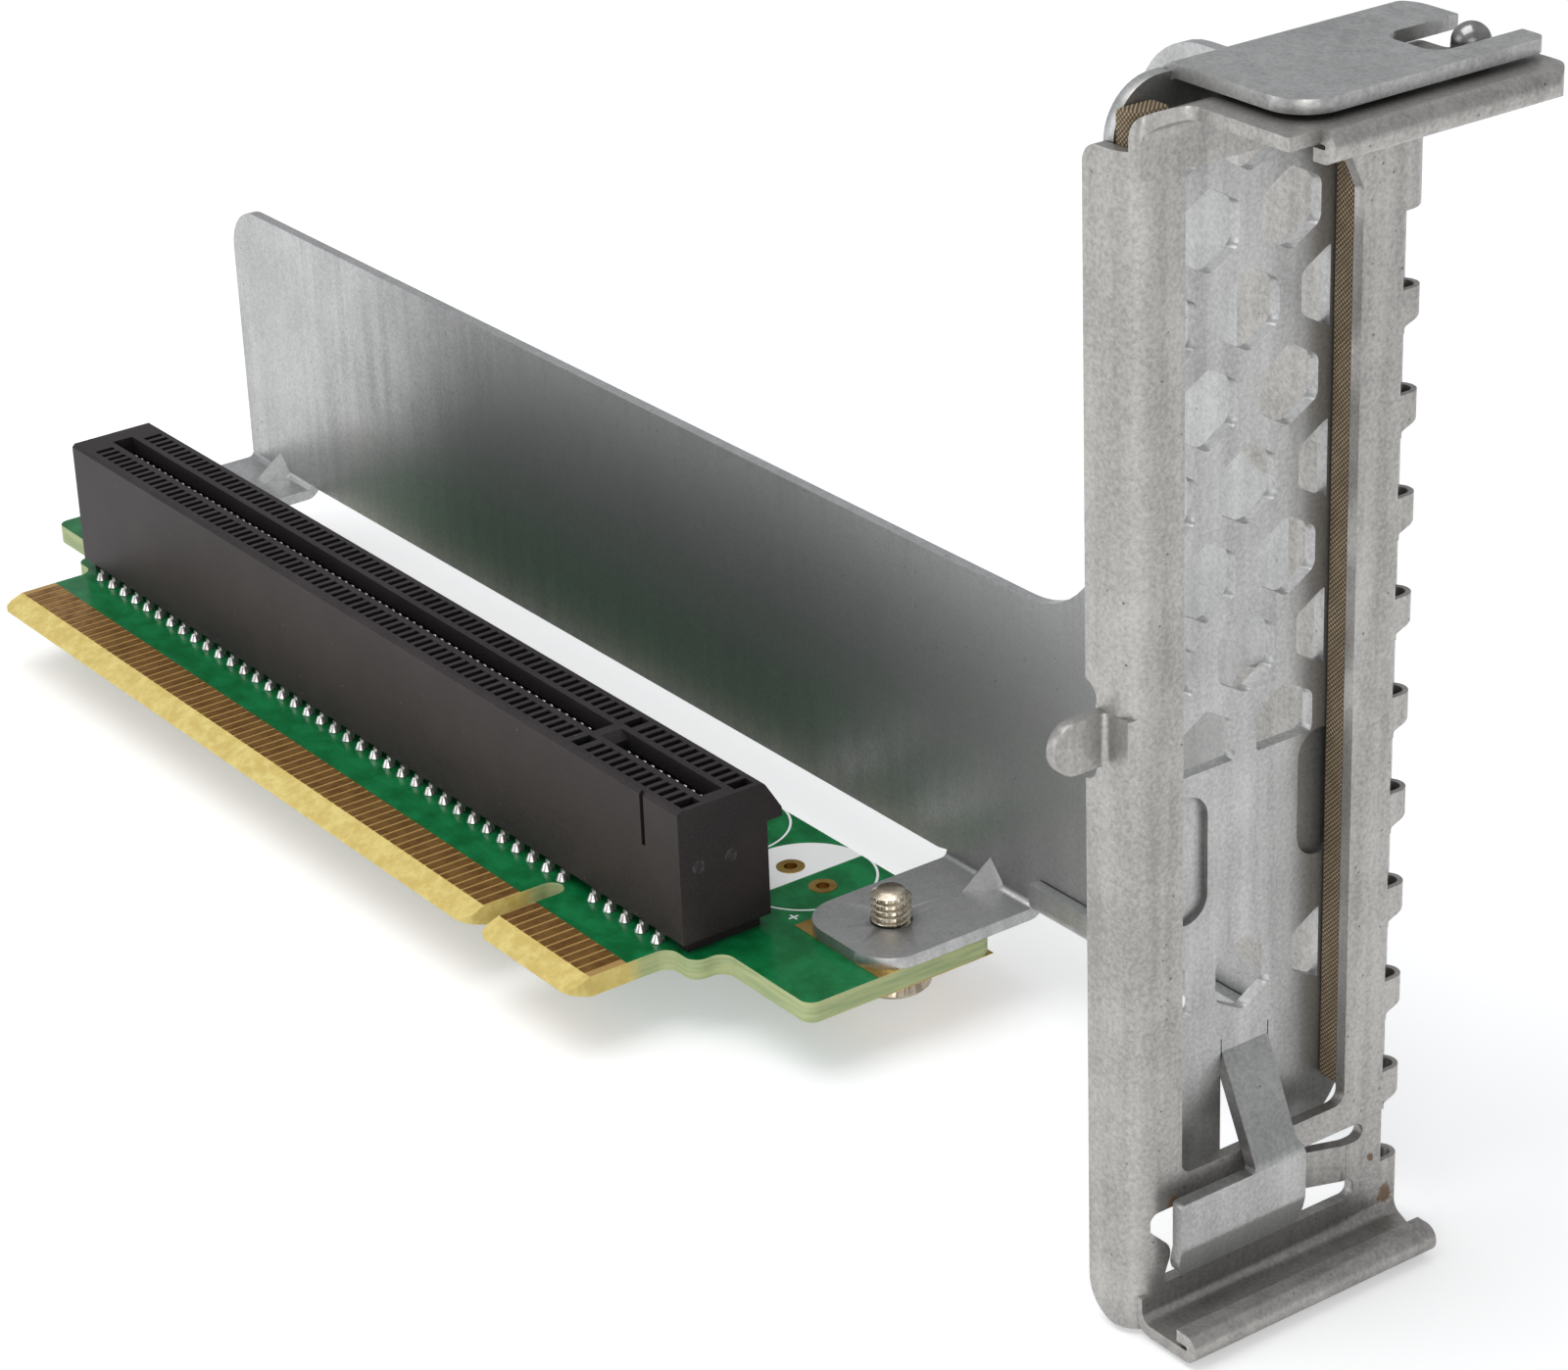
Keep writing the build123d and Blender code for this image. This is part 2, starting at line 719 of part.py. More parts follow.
def slot_frame():
    """Rear frame of the card slot, one folded sheet from its rolled lip to its foot."""
    frame = frame_wall() + bottom_flange()
    frame -= lower_opening()
    frame += spring_lug()
    frame += top_flange()
    frame += return_flange()
    frame += spring_finger(first_finger_top, first_finger_height)
    for i in range(1, finger_count):
        frame += spring_finger(first_finger_top + i * finger_pitch, finger_height)
    low = tongue_centre - tongue_width / 2
    for edge, lean in ((low, -1), (low + tongue_width, 1)):
        cut = Pos(flange_back, flange_face, edge + lean * tongue_notch / 2)
        frame -= cut * Rot(90, 0, 0) * Cylinder(tongue_notch, 4 * frame_sheet)
    frame -= box_between((flange_back - 1, flange_face - 1, low),
                         (flange_back + tongue_notch, flange_face + 2 * frame_sheet, low + tongue_width))
    return frame + side_tongue()


def locating_stud():
    """Round-nosed stud on the top flange that the cover's notch drops over."""
    shank = stud_top - stud_radius - top_flange_top
    stud = Pos(0, 0, top_flange_top + shank / 2) * Cylinder(stud_radius, shank)
    stud += Pos(0, 0, stud_top - stud_radius) * Sphere(stud_radius)
    stud &= box_between((-stud_radius, -stud_radius, top_flange_top), (stud_radius, stud_radius, stud_top))
    return Pos(stud_x, stud_y, 0) * stud


def vent_cells():
    """Centres of the hexagonal vents, in staggered rows down to the solid lower part."""
    row_pitch = vent_pitch * vent_row_share
    cells = []
    for row in range(vent_rows):
        z = vent_top_row - row * row_pitch
        shifts = (-1, 0, 1) if row % 2 == 0 else (-0.5, 0.5)
        cells += [(vent_centre_y + s * vent_pitch, z) for s in shifts]
    cells += [(vent_centre_y + s * vent_pitch, low_vent_z) for s in (-1, 0, 1)]
    return cells


def vents():
    """Cutter for the vents, kept inside the cover's side margins and above its plain foot."""
    hexagon = RegularPolygon(vent_flats / 2, 6, major_radius=False, rotation=30)
    hexagon = fillet(hexagon.vertices(), vent_radius)
    low_y = cover_left + vent_left_margin
    high_y = cover_left + cover_width - vent_right_margin
    reach = 2 * cover_sheet
    cells = [Pos(y, z) * hexagon for y, z in vent_cells()]
    field = extrude(wall_plane(cover_back - reach) * Sketch(children=cells), 3 * reach)
    back, front = cover_back - reach, cover_back + 2 * reach
    upper = box_between((back, low_y, vent_floor), (front, high_y, cover_top - vent_head_margin))
    lower = box_between((back, low_y, 0), (front, high_y, vent_floor - vent_pitch))
    return field & (upper + lower)


def cover_emboss(y, z):
    """Oblong outline of one of the cover's pressed pads."""
    return Pos(y, z) * SlotOverall(emboss_height, emboss_width, rotation=90)


def cover_latch():
    """Blade lanced from the cover, which leans past the crossbar and widens into a foot."""
    middle = cover_back + cover_sheet / 2
    reach = cover_back + latch_lean
    path = [(middle, latch_root + 1), (middle, latch_root), (reach, latch_knee),
            (reach, latch_curl), (reach - latch_tip_return, latch_end)]
    radii = [latch_bend, 2 * latch_bend, 2 * latch_bend]
    strip = bent_sheet(side_plane(latch_right), path, radii, cover_sheet, latch_right - latch_foot_left)
    foot_top = latch_knee - latch_relief
    points = [
        (latch_foot_left, latch_end - 1), (latch_foot_right, latch_end - 1),
        (latch_foot_right, foot_top), (latch_right - latch_shift, latch_knee + 1),
        (latch_right, latch_root), (latch_right, latch_root + 2), (latch_left, latch_root + 2),
        (latch_left, latch_root), (latch_left - latch_shift, foot_top), (latch_foot_left, foot_top),
    ]
    corner, small = latch_corner, latch_bend / 2
    radii = [2 * corner, 2 * corner, small, small, 0, 0, 0, 0, small, small]
    depth = latch_lean + 3 * cover_sheet
    return strip & extrude(wall_plane(cover_back - cover_sheet) * outline(points, radii), depth)


def slot_cover():
    """Blank cover, one folded sheet: vented wall, top tab with its notch, and the latch."""
    right = cover_left + cover_width
    head, shoulder = cover_top - cover_bend - cover_sheet, cover_top - cover_head_drop
    wall = [(cover_left, cover_bottom), (right, cover_bottom), (right, head),
            (cover_tab_left, head), (cover_tab_left, shoulder), (cover_left, shoulder)]
    radii = [cover_foot_radius, cover_foot_radius, 0, 0, 0, cover_corner_radius]
    cover = extrude(wall_plane(cover_back) * outline(wall, radii), cover_sheet)
    half = cover_sheet / 2
    middle = cover_back + half
    path = [(middle, cover_top - cover_tab_skirt), (middle, cover_top - half),
            (cover_back + cover_tab_length, cover_top - half)]
    tab = bent_sheet(side_plane(cover_tab_right), path, [cover_bend + half], cover_sheet,
                     cover_tab_right - cover_tab_left)
    end = cover_back + cover_tab_length
    points = [(cover_back, cover_tab_left), (end, cover_tab_left), (end, cover_tab_right),
              (notch_centre, cover_tab_right), (notch_centre, cover_tab_back_right),
              (cover_back, cover_tab_back_right)]
    radii = [0, cover_tab_radius, cover_tab_small_radius, 0, 0, cover_tab_radius]
    tab_face = outline(points, radii)
    tab &= extrude(flat_plane(cover_top - 2 * cover_tab_skirt) * tab_face, 2 * cover_tab_skirt)
    cover += tab
    notch = [(notch_centre - notch_width / 2, notch_end), (notch_centre + notch_width / 2, notch_end),
             (notch_centre + notch_width / 2, cover_tab_right + 1),
             (notch_centre - notch_width / 2, cover_tab_right + 1)]
    radii = [notch_radius, notch_radius, 0, 0]
    cover -= extrude(flat_plane(cover_top - 2) * outline(notch, radii), 4)
    for y, z in ((left_emboss_y, left_emboss_z), (right_emboss_y, right_emboss_z)):
        front = cover_back + cover_sheet
        cover -= extrude(wall_plane(front - emboss_depth) * cover_emboss(y, z), emboss_depth)
        cover += extrude(wall_plane(cover_back - emboss_depth) * cover_emboss(y, z), emboss_depth)
    cover -= vents()
    gap = latch_relief
    cover -= box_between((cover_back - 1, latch_left - gap, cover_bottom - 1),
                         (cover_back + 2, latch_right + gap, latch_root + 1))
    cover += cover_latch()
    return cover


def gasket(low_y, width, radius):
    """Strip of conductive cloth over foam that fills the gap between the frame and the cover."""
    front = frame_face - frame_sheet
    back = cover_back + cover_sheet
    points = [(back, low_y), (front, low_y), (front, low_y + width), (back, low_y + width)]
    face = outline(points, [0, radius, 0, 0])
    return extrude(flat_plane(gasket_bottom) * face, gasket_top - gasket_bottom)


nodes = {
    "circuit_board": circuit_board(),
    "edge_contacts_top": edge_contacts(0, 1),
    "edge_contacts_bottom": edge_contacts(-board_thickness, -1),
    "ground_pads_top": ground_pads(0, 1),
    "ground_pads_bottom": ground_pads(-board_thickness, -1),
    "capacitor_eyelets": capacitor_eyelets(),
    "slot_housing": slot_housing(),
    "left_outer_contacts": slot_contacts(-1, outer_tail, 1),
    "left_inner_contacts": slot_contacts(-1, inner_tail, 0),
    "right_outer_contacts": slot_contacts(1, outer_tail, 1),
    "right_inner_contacts": slot_contacts(1, inner_tail, 0),
    "riser_bracket": riser_bracket(),
    "near_board_screw": board_screw(near_screw_x),
    "far_board_screw": board_screw(far_screw_x),
    "slot_frame": slot_frame(),
    "locating_stud": locating_stud(),
    "slot_cover": slot_cover(),
    "left_gasket": gasket(flange_face + frame_sheet + 2 * gasket_clearance, left_gasket_width, gasket_radius),
    "right_gasket": gasket(window_right + gasket_clearance, gasket_width, 0),
}

os.makedirs("parts", exist_ok=True)
for name, shape in nodes.items():
    export_step(shape, f"parts/{name}.step")
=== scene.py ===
import math

import bpy
from mathutils import Matrix, Vector


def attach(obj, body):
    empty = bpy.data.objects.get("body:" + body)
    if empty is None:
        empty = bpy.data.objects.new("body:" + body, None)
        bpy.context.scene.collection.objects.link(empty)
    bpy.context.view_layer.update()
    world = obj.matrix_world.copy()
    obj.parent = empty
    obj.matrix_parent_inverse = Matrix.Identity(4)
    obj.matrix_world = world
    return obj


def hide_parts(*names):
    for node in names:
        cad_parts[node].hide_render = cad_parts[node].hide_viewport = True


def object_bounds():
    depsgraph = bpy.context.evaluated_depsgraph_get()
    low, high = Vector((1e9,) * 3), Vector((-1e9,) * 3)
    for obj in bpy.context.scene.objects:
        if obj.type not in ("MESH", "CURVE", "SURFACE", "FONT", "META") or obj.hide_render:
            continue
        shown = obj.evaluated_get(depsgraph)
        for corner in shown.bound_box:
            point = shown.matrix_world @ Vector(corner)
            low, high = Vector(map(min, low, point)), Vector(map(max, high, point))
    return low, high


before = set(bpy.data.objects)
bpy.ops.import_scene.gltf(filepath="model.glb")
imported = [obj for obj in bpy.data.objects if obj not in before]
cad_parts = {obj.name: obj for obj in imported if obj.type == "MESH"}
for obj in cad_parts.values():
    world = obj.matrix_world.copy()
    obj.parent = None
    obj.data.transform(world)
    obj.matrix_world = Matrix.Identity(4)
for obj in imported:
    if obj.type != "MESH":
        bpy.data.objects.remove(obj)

cadLow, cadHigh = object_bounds()
mm = 0.001
print("frame loaded")

# the camera that took the photograph, worked out from the card slot's known sizes
camera = {
    "place": (0.234899, -0.150297, 0.146571),
    "right": (0.58957, 0.80692, -0.03590),
    "up": (-0.32729, 0.27930, 0.90270),
    "back": (0.73843, -0.52046, 0.42877),
    "lens": 99.93,
    "sensor": 36.0,
    "clipNear": 0.01,
    "clipFar": 20.0,
}

studio = {
    "floorSize": 3.0,
    "floorDrop": 0.0004,
    "floorColour": (0.86, 0.86, 0.86, 1),
    "floorRoughness": 0.9,
    "floorSpecular": 0.1,
    "ambient": (0.95, 0.97, 1.0, 1),
    "ambientStrength": 0.48,
    "floorGlow": 0.36,
    "lamps": [
        # name, place, aims at, size, watts, colour
        ("sideSoftbox", (0.60, -0.42, 0.20), (0.02, 0.0, 0.02), 0.45, 1.5, (1.0, 0.985, 0.96)),
        ("topSoftbox", (-0.10, -0.15, 0.65), (0.0, 0.0, 0.0), 0.55, 2.1, (1.0, 1.0, 1.0)),
        ("frontSoftbox", (-0.35, -0.60, 0.22), (-0.02, 0.0, 0.02), 0.40, 0.8, (0.96, 0.98, 1.0)),
    ],
}


# node helpers

def addNode(tree, kind, inputs=None, **settings):
    node = tree.nodes.new(kind)
    for key, value in settings.items():
        setattr(node, key, value)
    for key, value in (inputs or {}).items():
        if isinstance(value, bpy.types.NodeSocket):
            tree.links.new(value, node.inputs[key])
        else:
            node.inputs[key].default_value = value
    return node


def maths(tree, operation, *values):
    return addNode(tree, "ShaderNodeMath", dict(enumerate(values)), operation=operation).outputs[0]


def blendColour(tree, factor, first, second, mode="MIX"):
    node = addNode(tree, "ShaderNodeMix", data_type="RGBA", blend_type=mode)
    for key, value in (("Factor_Float", factor), ("A_Color", first), ("B_Color", second)):
        socket = next(s for s in node.inputs if s.identifier == key)
        if isinstance(value, bpy.types.NodeSocket):
            tree.links.new(value, socket)
        else:
            socket.default_value = value
    return next(s for s in node.outputs if s.identifier == "Result_Color")


def ramp(tree, value, low, high, toLow=0.0, toHigh=1.0, smooth=True):
    kind = "SMOOTHSTEP" if smooth else "LINEAR"
    node = addNode(tree, "ShaderNodeMapRange", {"Value": value, "From Min": low, "From Max": high,
                                                "To Min": toLow, "To Max": toHigh},
                   interpolation_type=kind)
    return node.outputs["Result"]


def blendValue(tree, factor, first, second):
    # first where factor is 0, second where it is 1
    gap = maths(tree, "SUBTRACT", second, first)
    return maths(tree, "ADD", first, maths(tree, "MULTIPLY", gap, factor))


def noise(tree, place, scale, detail=2.0, roughness=0.5, distortion=0.0):
    node = addNode(tree, "ShaderNodeTexNoise", {"Vector": place, "Scale": scale, "Detail": detail,
                                                "Roughness": roughness, "Distortion": distortion})
    return node.outputs["Fac"]


def startGroup(name, inputs, outputs):
    tree = bpy.data.node_groups.new(name, "ShaderNodeTree")
    for label, kind, value in inputs:
        socket = tree.interface.new_socket(name=label, in_out="INPUT", socket_type=kind)
        if value is not None:
            socket.default_value = value
    for label, kind in outputs:
        tree.interface.new_socket(name=label, in_out="OUTPUT", socket_type=kind)
    return tree, tree.nodes.new("NodeGroupInput"), tree.nodes.new("NodeGroupOutput")


# shares of each layer of the grain, and how its specks are picked and drawn
grainLook = {"fine": 0.46, "cloud": 0.26, "streak": 0.28, "streakStretch": 0.05, "streakFinerBy": 5.0,
             "lowShade": 0.38, "highShade": 0.62, "speckOdds": 0.72, "speckCore": 0.03, "speckEdge": 0.11,
             "speckDepth": 0.6}


def makeSteelGrain():
    # fine zinc grain, soft handling clouds, rolling streaks and a scatter of dark specks
    tree, given, out = startGroup(
        "steelGrain",
        [("Vector", "NodeSocketVector", None), ("Grain Size", "NodeSocketFloat", 0.00016),
         ("Cloud Size", "NodeSocketFloat", 0.006), ("Speck Spacing", "NodeSocketFloat", 0.0010)],
        [("Shade", "NodeSocketFloat"), ("Specks", "NodeSocketFloat"), ("Height", "NodeSocketFloat")])
    place = given.outputs["Vector"]
    fineScale = maths(tree, "DIVIDE", 1.0, given.outputs["Grain Size"])
    cloudScale = maths(tree, "DIVIDE", 1.0, given.outputs["Cloud Size"])
    fine = noise(tree, place, fineScale, 2.0, 0.7)
    cloud = noise(tree, place, cloudScale, 3.0, 0.5, 0.3)
    stretched = addNode(tree, "ShaderNodeMapping",
                        {"Vector": place, "Scale": (1.0, 1.0, grainLook["streakStretch"])}).outputs["Vector"]
    streak = noise(tree, stretched, maths(tree, "MULTIPLY", cloudScale, grainLook["streakFinerBy"]), 2.0, 0.5)
    shade = maths(tree, "ADD", maths(tree, "MULTIPLY", fine, grainLook["fine"]),
                  maths(tree, "MULTIPLY", cloud, grainLook["cloud"]))
    shade = maths(tree, "ADD", shade, maths(tree, "MULTIPLY", streak, grainLook["streak"]))
    spacing = maths(tree, "DIVIDE", 1.0, given.outputs["Speck Spacing"])
    cells = addNode(tree, "ShaderNodeTexVoronoi", {"Vector": place, "Scale": spacing})
    red = addNode(tree, "ShaderNodeSeparateColor", {"Color": cells.outputs["Color"]}).outputs["Red"]
    chosen = maths(tree, "GREATER_THAN", red, grainLook["speckOdds"])
    dot = ramp(tree, cells.outputs["Distance"], grainLook["speckCore"], grainLook["speckEdge"], 1.0, 0.0)
    specks = maths(tree, "MULTIPLY", dot, chosen)
    tree.links.new(ramp(tree, shade, grainLook["lowShade"], grainLook["highShade"], smooth=False),
                   out.inputs["Shade"])
    tree.links.new(specks, out.inputs["Specks"])
    pitted = maths(tree, "SUBTRACT", fine, maths(tree, "MULTIPLY", specks, grainLook["speckDepth"]))
    tree.links.new(pitted, out.inputs["Height"])
    return tree


def makeDust():
    # a thin scatter of pale dust
    tree, given, out = startGroup(
        "paleDust",
        [("Vector", "NodeSocketVector", None), ("Spacing", "NodeSocketFloat", 0.0012),
         ("Share", "NodeSocketFloat", 0.25)],
        [("Mask", "NodeSocketFloat")])
    scale = maths(tree, "DIVIDE", 1.0, given.outputs["Spacing"])
    cells = addNode(tree, "ShaderNodeTexVoronoi", {"Vector": given.outputs["Vector"], "Scale": scale})
    red = addNode(tree, "ShaderNodeSeparateColor", {"Color": cells.outputs["Color"]}).outputs["Red"]
    chosen = maths(tree, "LESS_THAN", red, given.outputs["Share"])
    dot = ramp(tree, cells.outputs["Distance"], 0.02, 0.10, 1.0, 0.0)
    tree.links.new(maths(tree, "MULTIPLY", dot, chosen), out.inputs["Mask"])
    return tree


def makeSpot():
    # one soft-edged stain round a point
    tree, given, out = startGroup(
        "stainSpot",
        [("Vector", "NodeSocketVector", None), ("Centre", "NodeSocketVector", None),
         ("Radius", "NodeSocketFloat", 0.001)],
        [("Mask", "NodeSocketFloat")])
    wobble = noise(tree, given.outputs["Vector"], 2600.0, 3.0, 0.6)
    gap = addNode(tree, "ShaderNodeVectorMath", operation="DISTANCE")
    tree.links.new(given.outputs["Vector"], gap.inputs[0])
    tree.links.new(given.outputs["Centre"], gap.inputs[1])
    share = maths(tree, "DIVIDE", gap.outputs["Value"], given.outputs["Radius"])
    rough = maths(tree, "ADD", share, maths(tree, "MULTIPLY", maths(tree, "SUBTRACT", wobble, 0.5), 1.6))
    tree.links.new(ramp(tree, rough, 0.55, 1.0, 1.0, 0.0), out.inputs["Mask"])
    return tree


steelGrain = makeSteelGrain()
paleDust = makeDust()
stainSpot = makeSpot()
print("node groups made")


def useGroup(tree, group, inputs):
    node = tree.nodes.new("ShaderNodeGroup")
    node.node_tree = group
    for key, value in inputs.items():
        if isinstance(value, bpy.types.NodeSocket):
            tree.links.new(value, node.inputs[key])
        else:
            node.inputs[key].default_value = value
    return node


def startMaterial(name, metallic=0.0, specular=0.5):
    material = bpy.data.materials.new(name)
    material.use_nodes = True
    tree = material.node_tree
    shader = tree.nodes["Principled BSDF"]
    shader.inputs["Metallic"].default_value = metallic
    shader.inputs["Specular IOR Level"].default_value = specular
    place = addNode(tree, "ShaderNodeTexCoord").outputs["Object"]
    return material, tree, shader, place


def bumpFrom(tree, shader, height, distance, strength=1.0):
    bump = addNode(tree, "ShaderNodeBump", {"Height": height, "Distance": distance, "Strength": strength})
    tree.links.new(bump.outputs["Normal"], shader.inputs["Normal"])


def paintedCreviceShade(tree, reach, darkest):
    # painted shade: a share that falls to darkest in the corners, where shade gathers
    clearance = addNode(tree, "ShaderNodeAmbientOcclusion", {"Distance": reach}, samples=6).outputs["AO"]
    return ramp(tree, clearance, 0.10, 0.85, darkest, 1.0, smooth=False)


def facing(tree):
    normal = addNode(tree, "ShaderNodeNewGeometry").outputs["True Normal"]
    return addNode(tree, "ShaderNodeSeparateXYZ", {"Vector": normal}).outputs


# galvanised sheet

frameFinish = {
    "light": (0.50, 0.485, 0.465, 1), "dark": (0.31, 0.30, 0.285, 1), "grain": 0.00028, "roughness": 0.38,
    "rustColour": (0.17, 0.095, 0.04, 1), "paintedShadeReach": 0.004, "paintedShadeShare": 0.55,
    "rust": [((62.5, 16.6, -3.6), 0.8), ((62.5, 15.3, -0.4), 0.35), ((62.5, -1.2, 2.9), 0.6),
             ((59.9, 13.9, 4.4), 0.5)],
}
coverFinish = {"light": (0.55, 0.55, 0.54, 1), "dark": (0.36, 0.36, 0.355, 1), "grain": 0.00028,
               "roughness": 0.36, "rust": [], "paintedShadeReach": 0.004, "paintedShadeShare": 0.40}
bracketFinish = {
    "light": (0.56, 0.56, 0.555, 1), "dark": (0.40, 0.40, 0.40, 1), "grain": 0.00026, "roughness": 0.38,
    "rust": [], "paintedShadeReach": 0.002, "paintedShadeShare": 0.55,
    # painted shade and reflection: the long face towards the slot is painted dark, darker low down, clearing
    # towards its far end and top edge, and the arm is painted lighter
    "spineShadeShare": 0.60, "spineLitShare": 1.0, "spineLitEnd": (-0.072, -0.045), "spineLowShade": 0.85, "lowTo": 0.026,
    "armLightLift": 0.40, "armFrom": (-0.01, 0.035),
}
sheetFinish = {
    "metallic": 0.80, "cloud": 0.006, "speckSpacing": 0.0011,
    "speckColour": (0.07, 0.065, 0.06, 1), "speckShare": 0.8,
    "roughBy": 0.07, "smoothBy": 0.05, "rustShare": 0.85, "rustRoughBy": 0.3, "rustDullBy": 0.7,
    "edgeLight": (0.62, 0.61, 0.59, 1), "edgeDark": (0.30, 0.28, 0.25, 1), "edgeMetallic": 0.85,
}


def paintedSpineShade(tree, place, colour, finish):
    # painted shade and reflection: darkens the long face towards the slot, less towards its far end and top
    # edge, and lightens the arm
    axes = addNode(tree, "ShaderNodeSeparateXYZ", {"Vector": place}).outputs
    inward = ramp(tree, maths(tree, "MULTIPLY", facing(tree)["Y"], -1.0), 0.80, 0.96)
    clear = ramp(tree, axes["X"], finish["spineLitEnd"][0], finish["spineLitEnd"][1], 1.0, 0.0)
    low = ramp(tree, axes["Z"], 0.0, finish["lowTo"], finish["spineLowShade"], 1.0)
    arm = ramp(tree, axes["X"], finish["armFrom"][0], finish["armFrom"][1], 0.0, finish["armLightLift"])
    spineShaded = maths(tree, "MULTIPLY", maths(tree, "ADD", finish["spineShadeShare"], arm), low)
    gap = maths(tree, "SUBTRACT", finish["spineLitShare"], spineShaded)
    share = maths(tree, "ADD", spineShaded, maths(tree, "MULTIPLY", clear, gap))
    return blendColour(tree, inward, colour, blendColour(tree, 1.0, colour, share, "MULTIPLY"))


def galvanised(name, finish):
    material, tree, shader, place = startMaterial(name, metallic=sheetFinish["metallic"])
    grain = useGroup(tree, steelGrain, {"Vector": place, "Grain Size": finish["grain"],
                                        "Cloud Size": sheetFinish["cloud"],
                                        "Speck Spacing": sheetFinish["speckSpacing"]})
    colour = blendColour(tree, grain.outputs["Shade"], finish["dark"], finish["light"])
    specks = maths(tree, "MULTIPLY", grain.outputs["Specks"], sheetFinish["speckShare"])
    colour = blendColour(tree, specks, colour, sheetFinish["speckColour"])
    roughness = finish["roughness"]
    rough = ramp(tree, grain.outputs["Shade"], 0.0, 1.0, roughness + sheetFinish["roughBy"],
                 roughness - sheetFinish["smoothBy"], smooth=False)
    if "spineLitEnd" in finish:
        # painted shade and reflection on the bracket's long face
        colour = paintedSpineShade(tree, place, colour, finish)
    # painted shade: the sheet is darkened in its corners and folds
    paintedShade = paintedCreviceShade(tree, finish["paintedShadeReach"], finish["paintedShadeShare"])
    colour = blendColour(tree, 1.0, colour, paintedShade, "MULTIPLY")
    if finish["rust"]:
        rust = 0.0
        for (x, y, z), radius in finish["rust"]:
            spot = useGroup(tree, stainSpot, {"Vector": place, "Centre": (x * mm, y * mm, z * mm),
                                              "Radius": radius * mm})
            rust = maths(tree, "MAXIMUM", rust, spot.outputs["Mask"])
        colour = blendColour(tree, maths(tree, "MULTIPLY", rust, sheetFinish["rustShare"]), colour,
                             finish["rustColour"])
        rough = maths(tree, "ADD", rough, maths(tree, "MULTIPLY", rust, sheetFinish["rustRoughBy"]))
        dulled = maths(tree, "MULTIPLY", rust, sheetFinish["rustDullBy"])
        tree.links.new(maths(tree, "SUBTRACT", sheetFinish["metallic"], dulled), shader.inputs["Metallic"])
    tree.links.new(colour, shader.inputs["Base Color"])
    tree.links.new(rough, shader.inputs["Roughness"])
    bumpFrom(tree, shader, grain.outputs["Height"], 0.00002, 0.4)
    return material


def rubbedEdge(name):
    # corners of the sheet, rubbed bright in places and brown where the cut is bare
    material, tree, shader, place = startMaterial(name, metallic=sheetFinish["edgeMetallic"])
    patch = ramp(tree, noise(tree, place, 700.0, 4.0, 0.65), 0.38, 0.62)
    tree.links.new(blendColour(tree, patch, sheetFinish["edgeDark"], sheetFinish["edgeLight"]),
                   shader.inputs["Base Color"])
    tree.links.new(ramp(tree, patch, 0.0, 1.0, 0.45, 0.30, smooth=False), shader.inputs["Roughness"])
    bumpFrom(tree, shader, noise(tree, place, 6000.0, 2.0, 0.6), 0.00001, 0.4)
    return material


frameSteel = galvanised("frameSteel", frameFinish)
coverSteel = galvanised("coverSteel", coverFinish)
bracketSteel = galvanised("bracketSteel", bracketFinish)
steelEdge = rubbedEdge("steelEdge")


# circuit board

boardFinish = {
    "mask": (0.003, 0.135, 0.034, 1),
    "maskLight": (0.008, 0.205, 0.062, 1),
    "copperShadow": (0.003, 0.095, 0.028, 1),
    "edge": (0.50, 0.55, 0.28, 1),
    "edgeDark": (0.33, 0.42, 0.21, 1),
    "bare": (0.80, 0.66, 0.24, 1),
    "bareDark": (0.66, 0.50, 0.15, 1),
    "stained": (0.46, 0.29, 0.10, 1),
    "ink": (0.93, 0.94, 0.93, 1),
    "fingerBack": -7.25 * mm,
    "bevelBack": -10.35 * mm,
    "middle": -1.57 / 2 * mm,
    "runShare": 0.22,
    # the cut side is bare and yellow on the gold edge, and greener behind it
    "bareSide": (-0.0075, -0.0055),
    "inkRoughBy": 0.2,
    "creviceReach": 0.002,
    "creviceShare": 0.55,
}
# print round the two unfitted capacitors, in mm
capacitor = {"middles": ((9.40, 9.96), (-1.20, 9.96)), "radius": 5.20, "line": 0.18, "plusAway": 4.35,
             "plusArm": 0.4, "plusHalf": 0.08}


def between(tree, value, low, high, soft=0.00004):
    # 1 inside the band, with edges as sharp as print
    rise = ramp(tree, value, low - soft, low + soft)
    fall = ramp(tree, value, high - soft, high + soft, 1.0, 0.0)
    return maths(tree, "MULTIPLY", rise, fall)


def ring(tree, x, y, centre, low, high):
    across = maths(tree, "SUBTRACT", x, centre[0])
    along = maths(tree, "SUBTRACT", y, centre[1])
    squares = maths(tree, "ADD", maths(tree, "MULTIPLY", across, across),
                    maths(tree, "MULTIPLY", along, along))
    return between(tree, maths(tree, "SQRT", squares), low, high)


def capacitorPrint(tree, x, y):
    # round outlines of the unfitted capacitors, one half of each filled, and a plus beside each
    ink = 0.0
    edge, inside = capacitor["radius"] * mm, (capacitor["radius"] - capacitor["line"]) * mm
    arm, thin = capacitor["plusArm"] * mm, capacitor["plusHalf"] * mm
    for across, along in capacitor["middles"]:
        middle = (across * mm, along * mm)
        line = ring(tree, x, y, middle, inside, edge)
        disc = ring(tree, x, y, middle, -1.0, edge)
        half = between(tree, x, -1.0, middle[0])
        ink = maths(tree, "MAXIMUM", ink, maths(tree, "MAXIMUM", line, maths(tree, "MULTIPLY", disc, half)))
        plusX, plusY = (across + capacitor["plusAway"]) * mm, (along - capacitor["plusAway"]) * mm
        bar, post = (maths(tree, "MULTIPLY", between(tree, x, plusX - halfX, plusX + halfX),
                           between(tree, y, plusY - halfY, plusY + halfY))
                     for halfX, halfY in ((arm, thin), (thin, arm)))
        ink = maths(tree, "MAXIMUM", ink, maths(tree, "MAXIMUM", bar, post))
    return ink


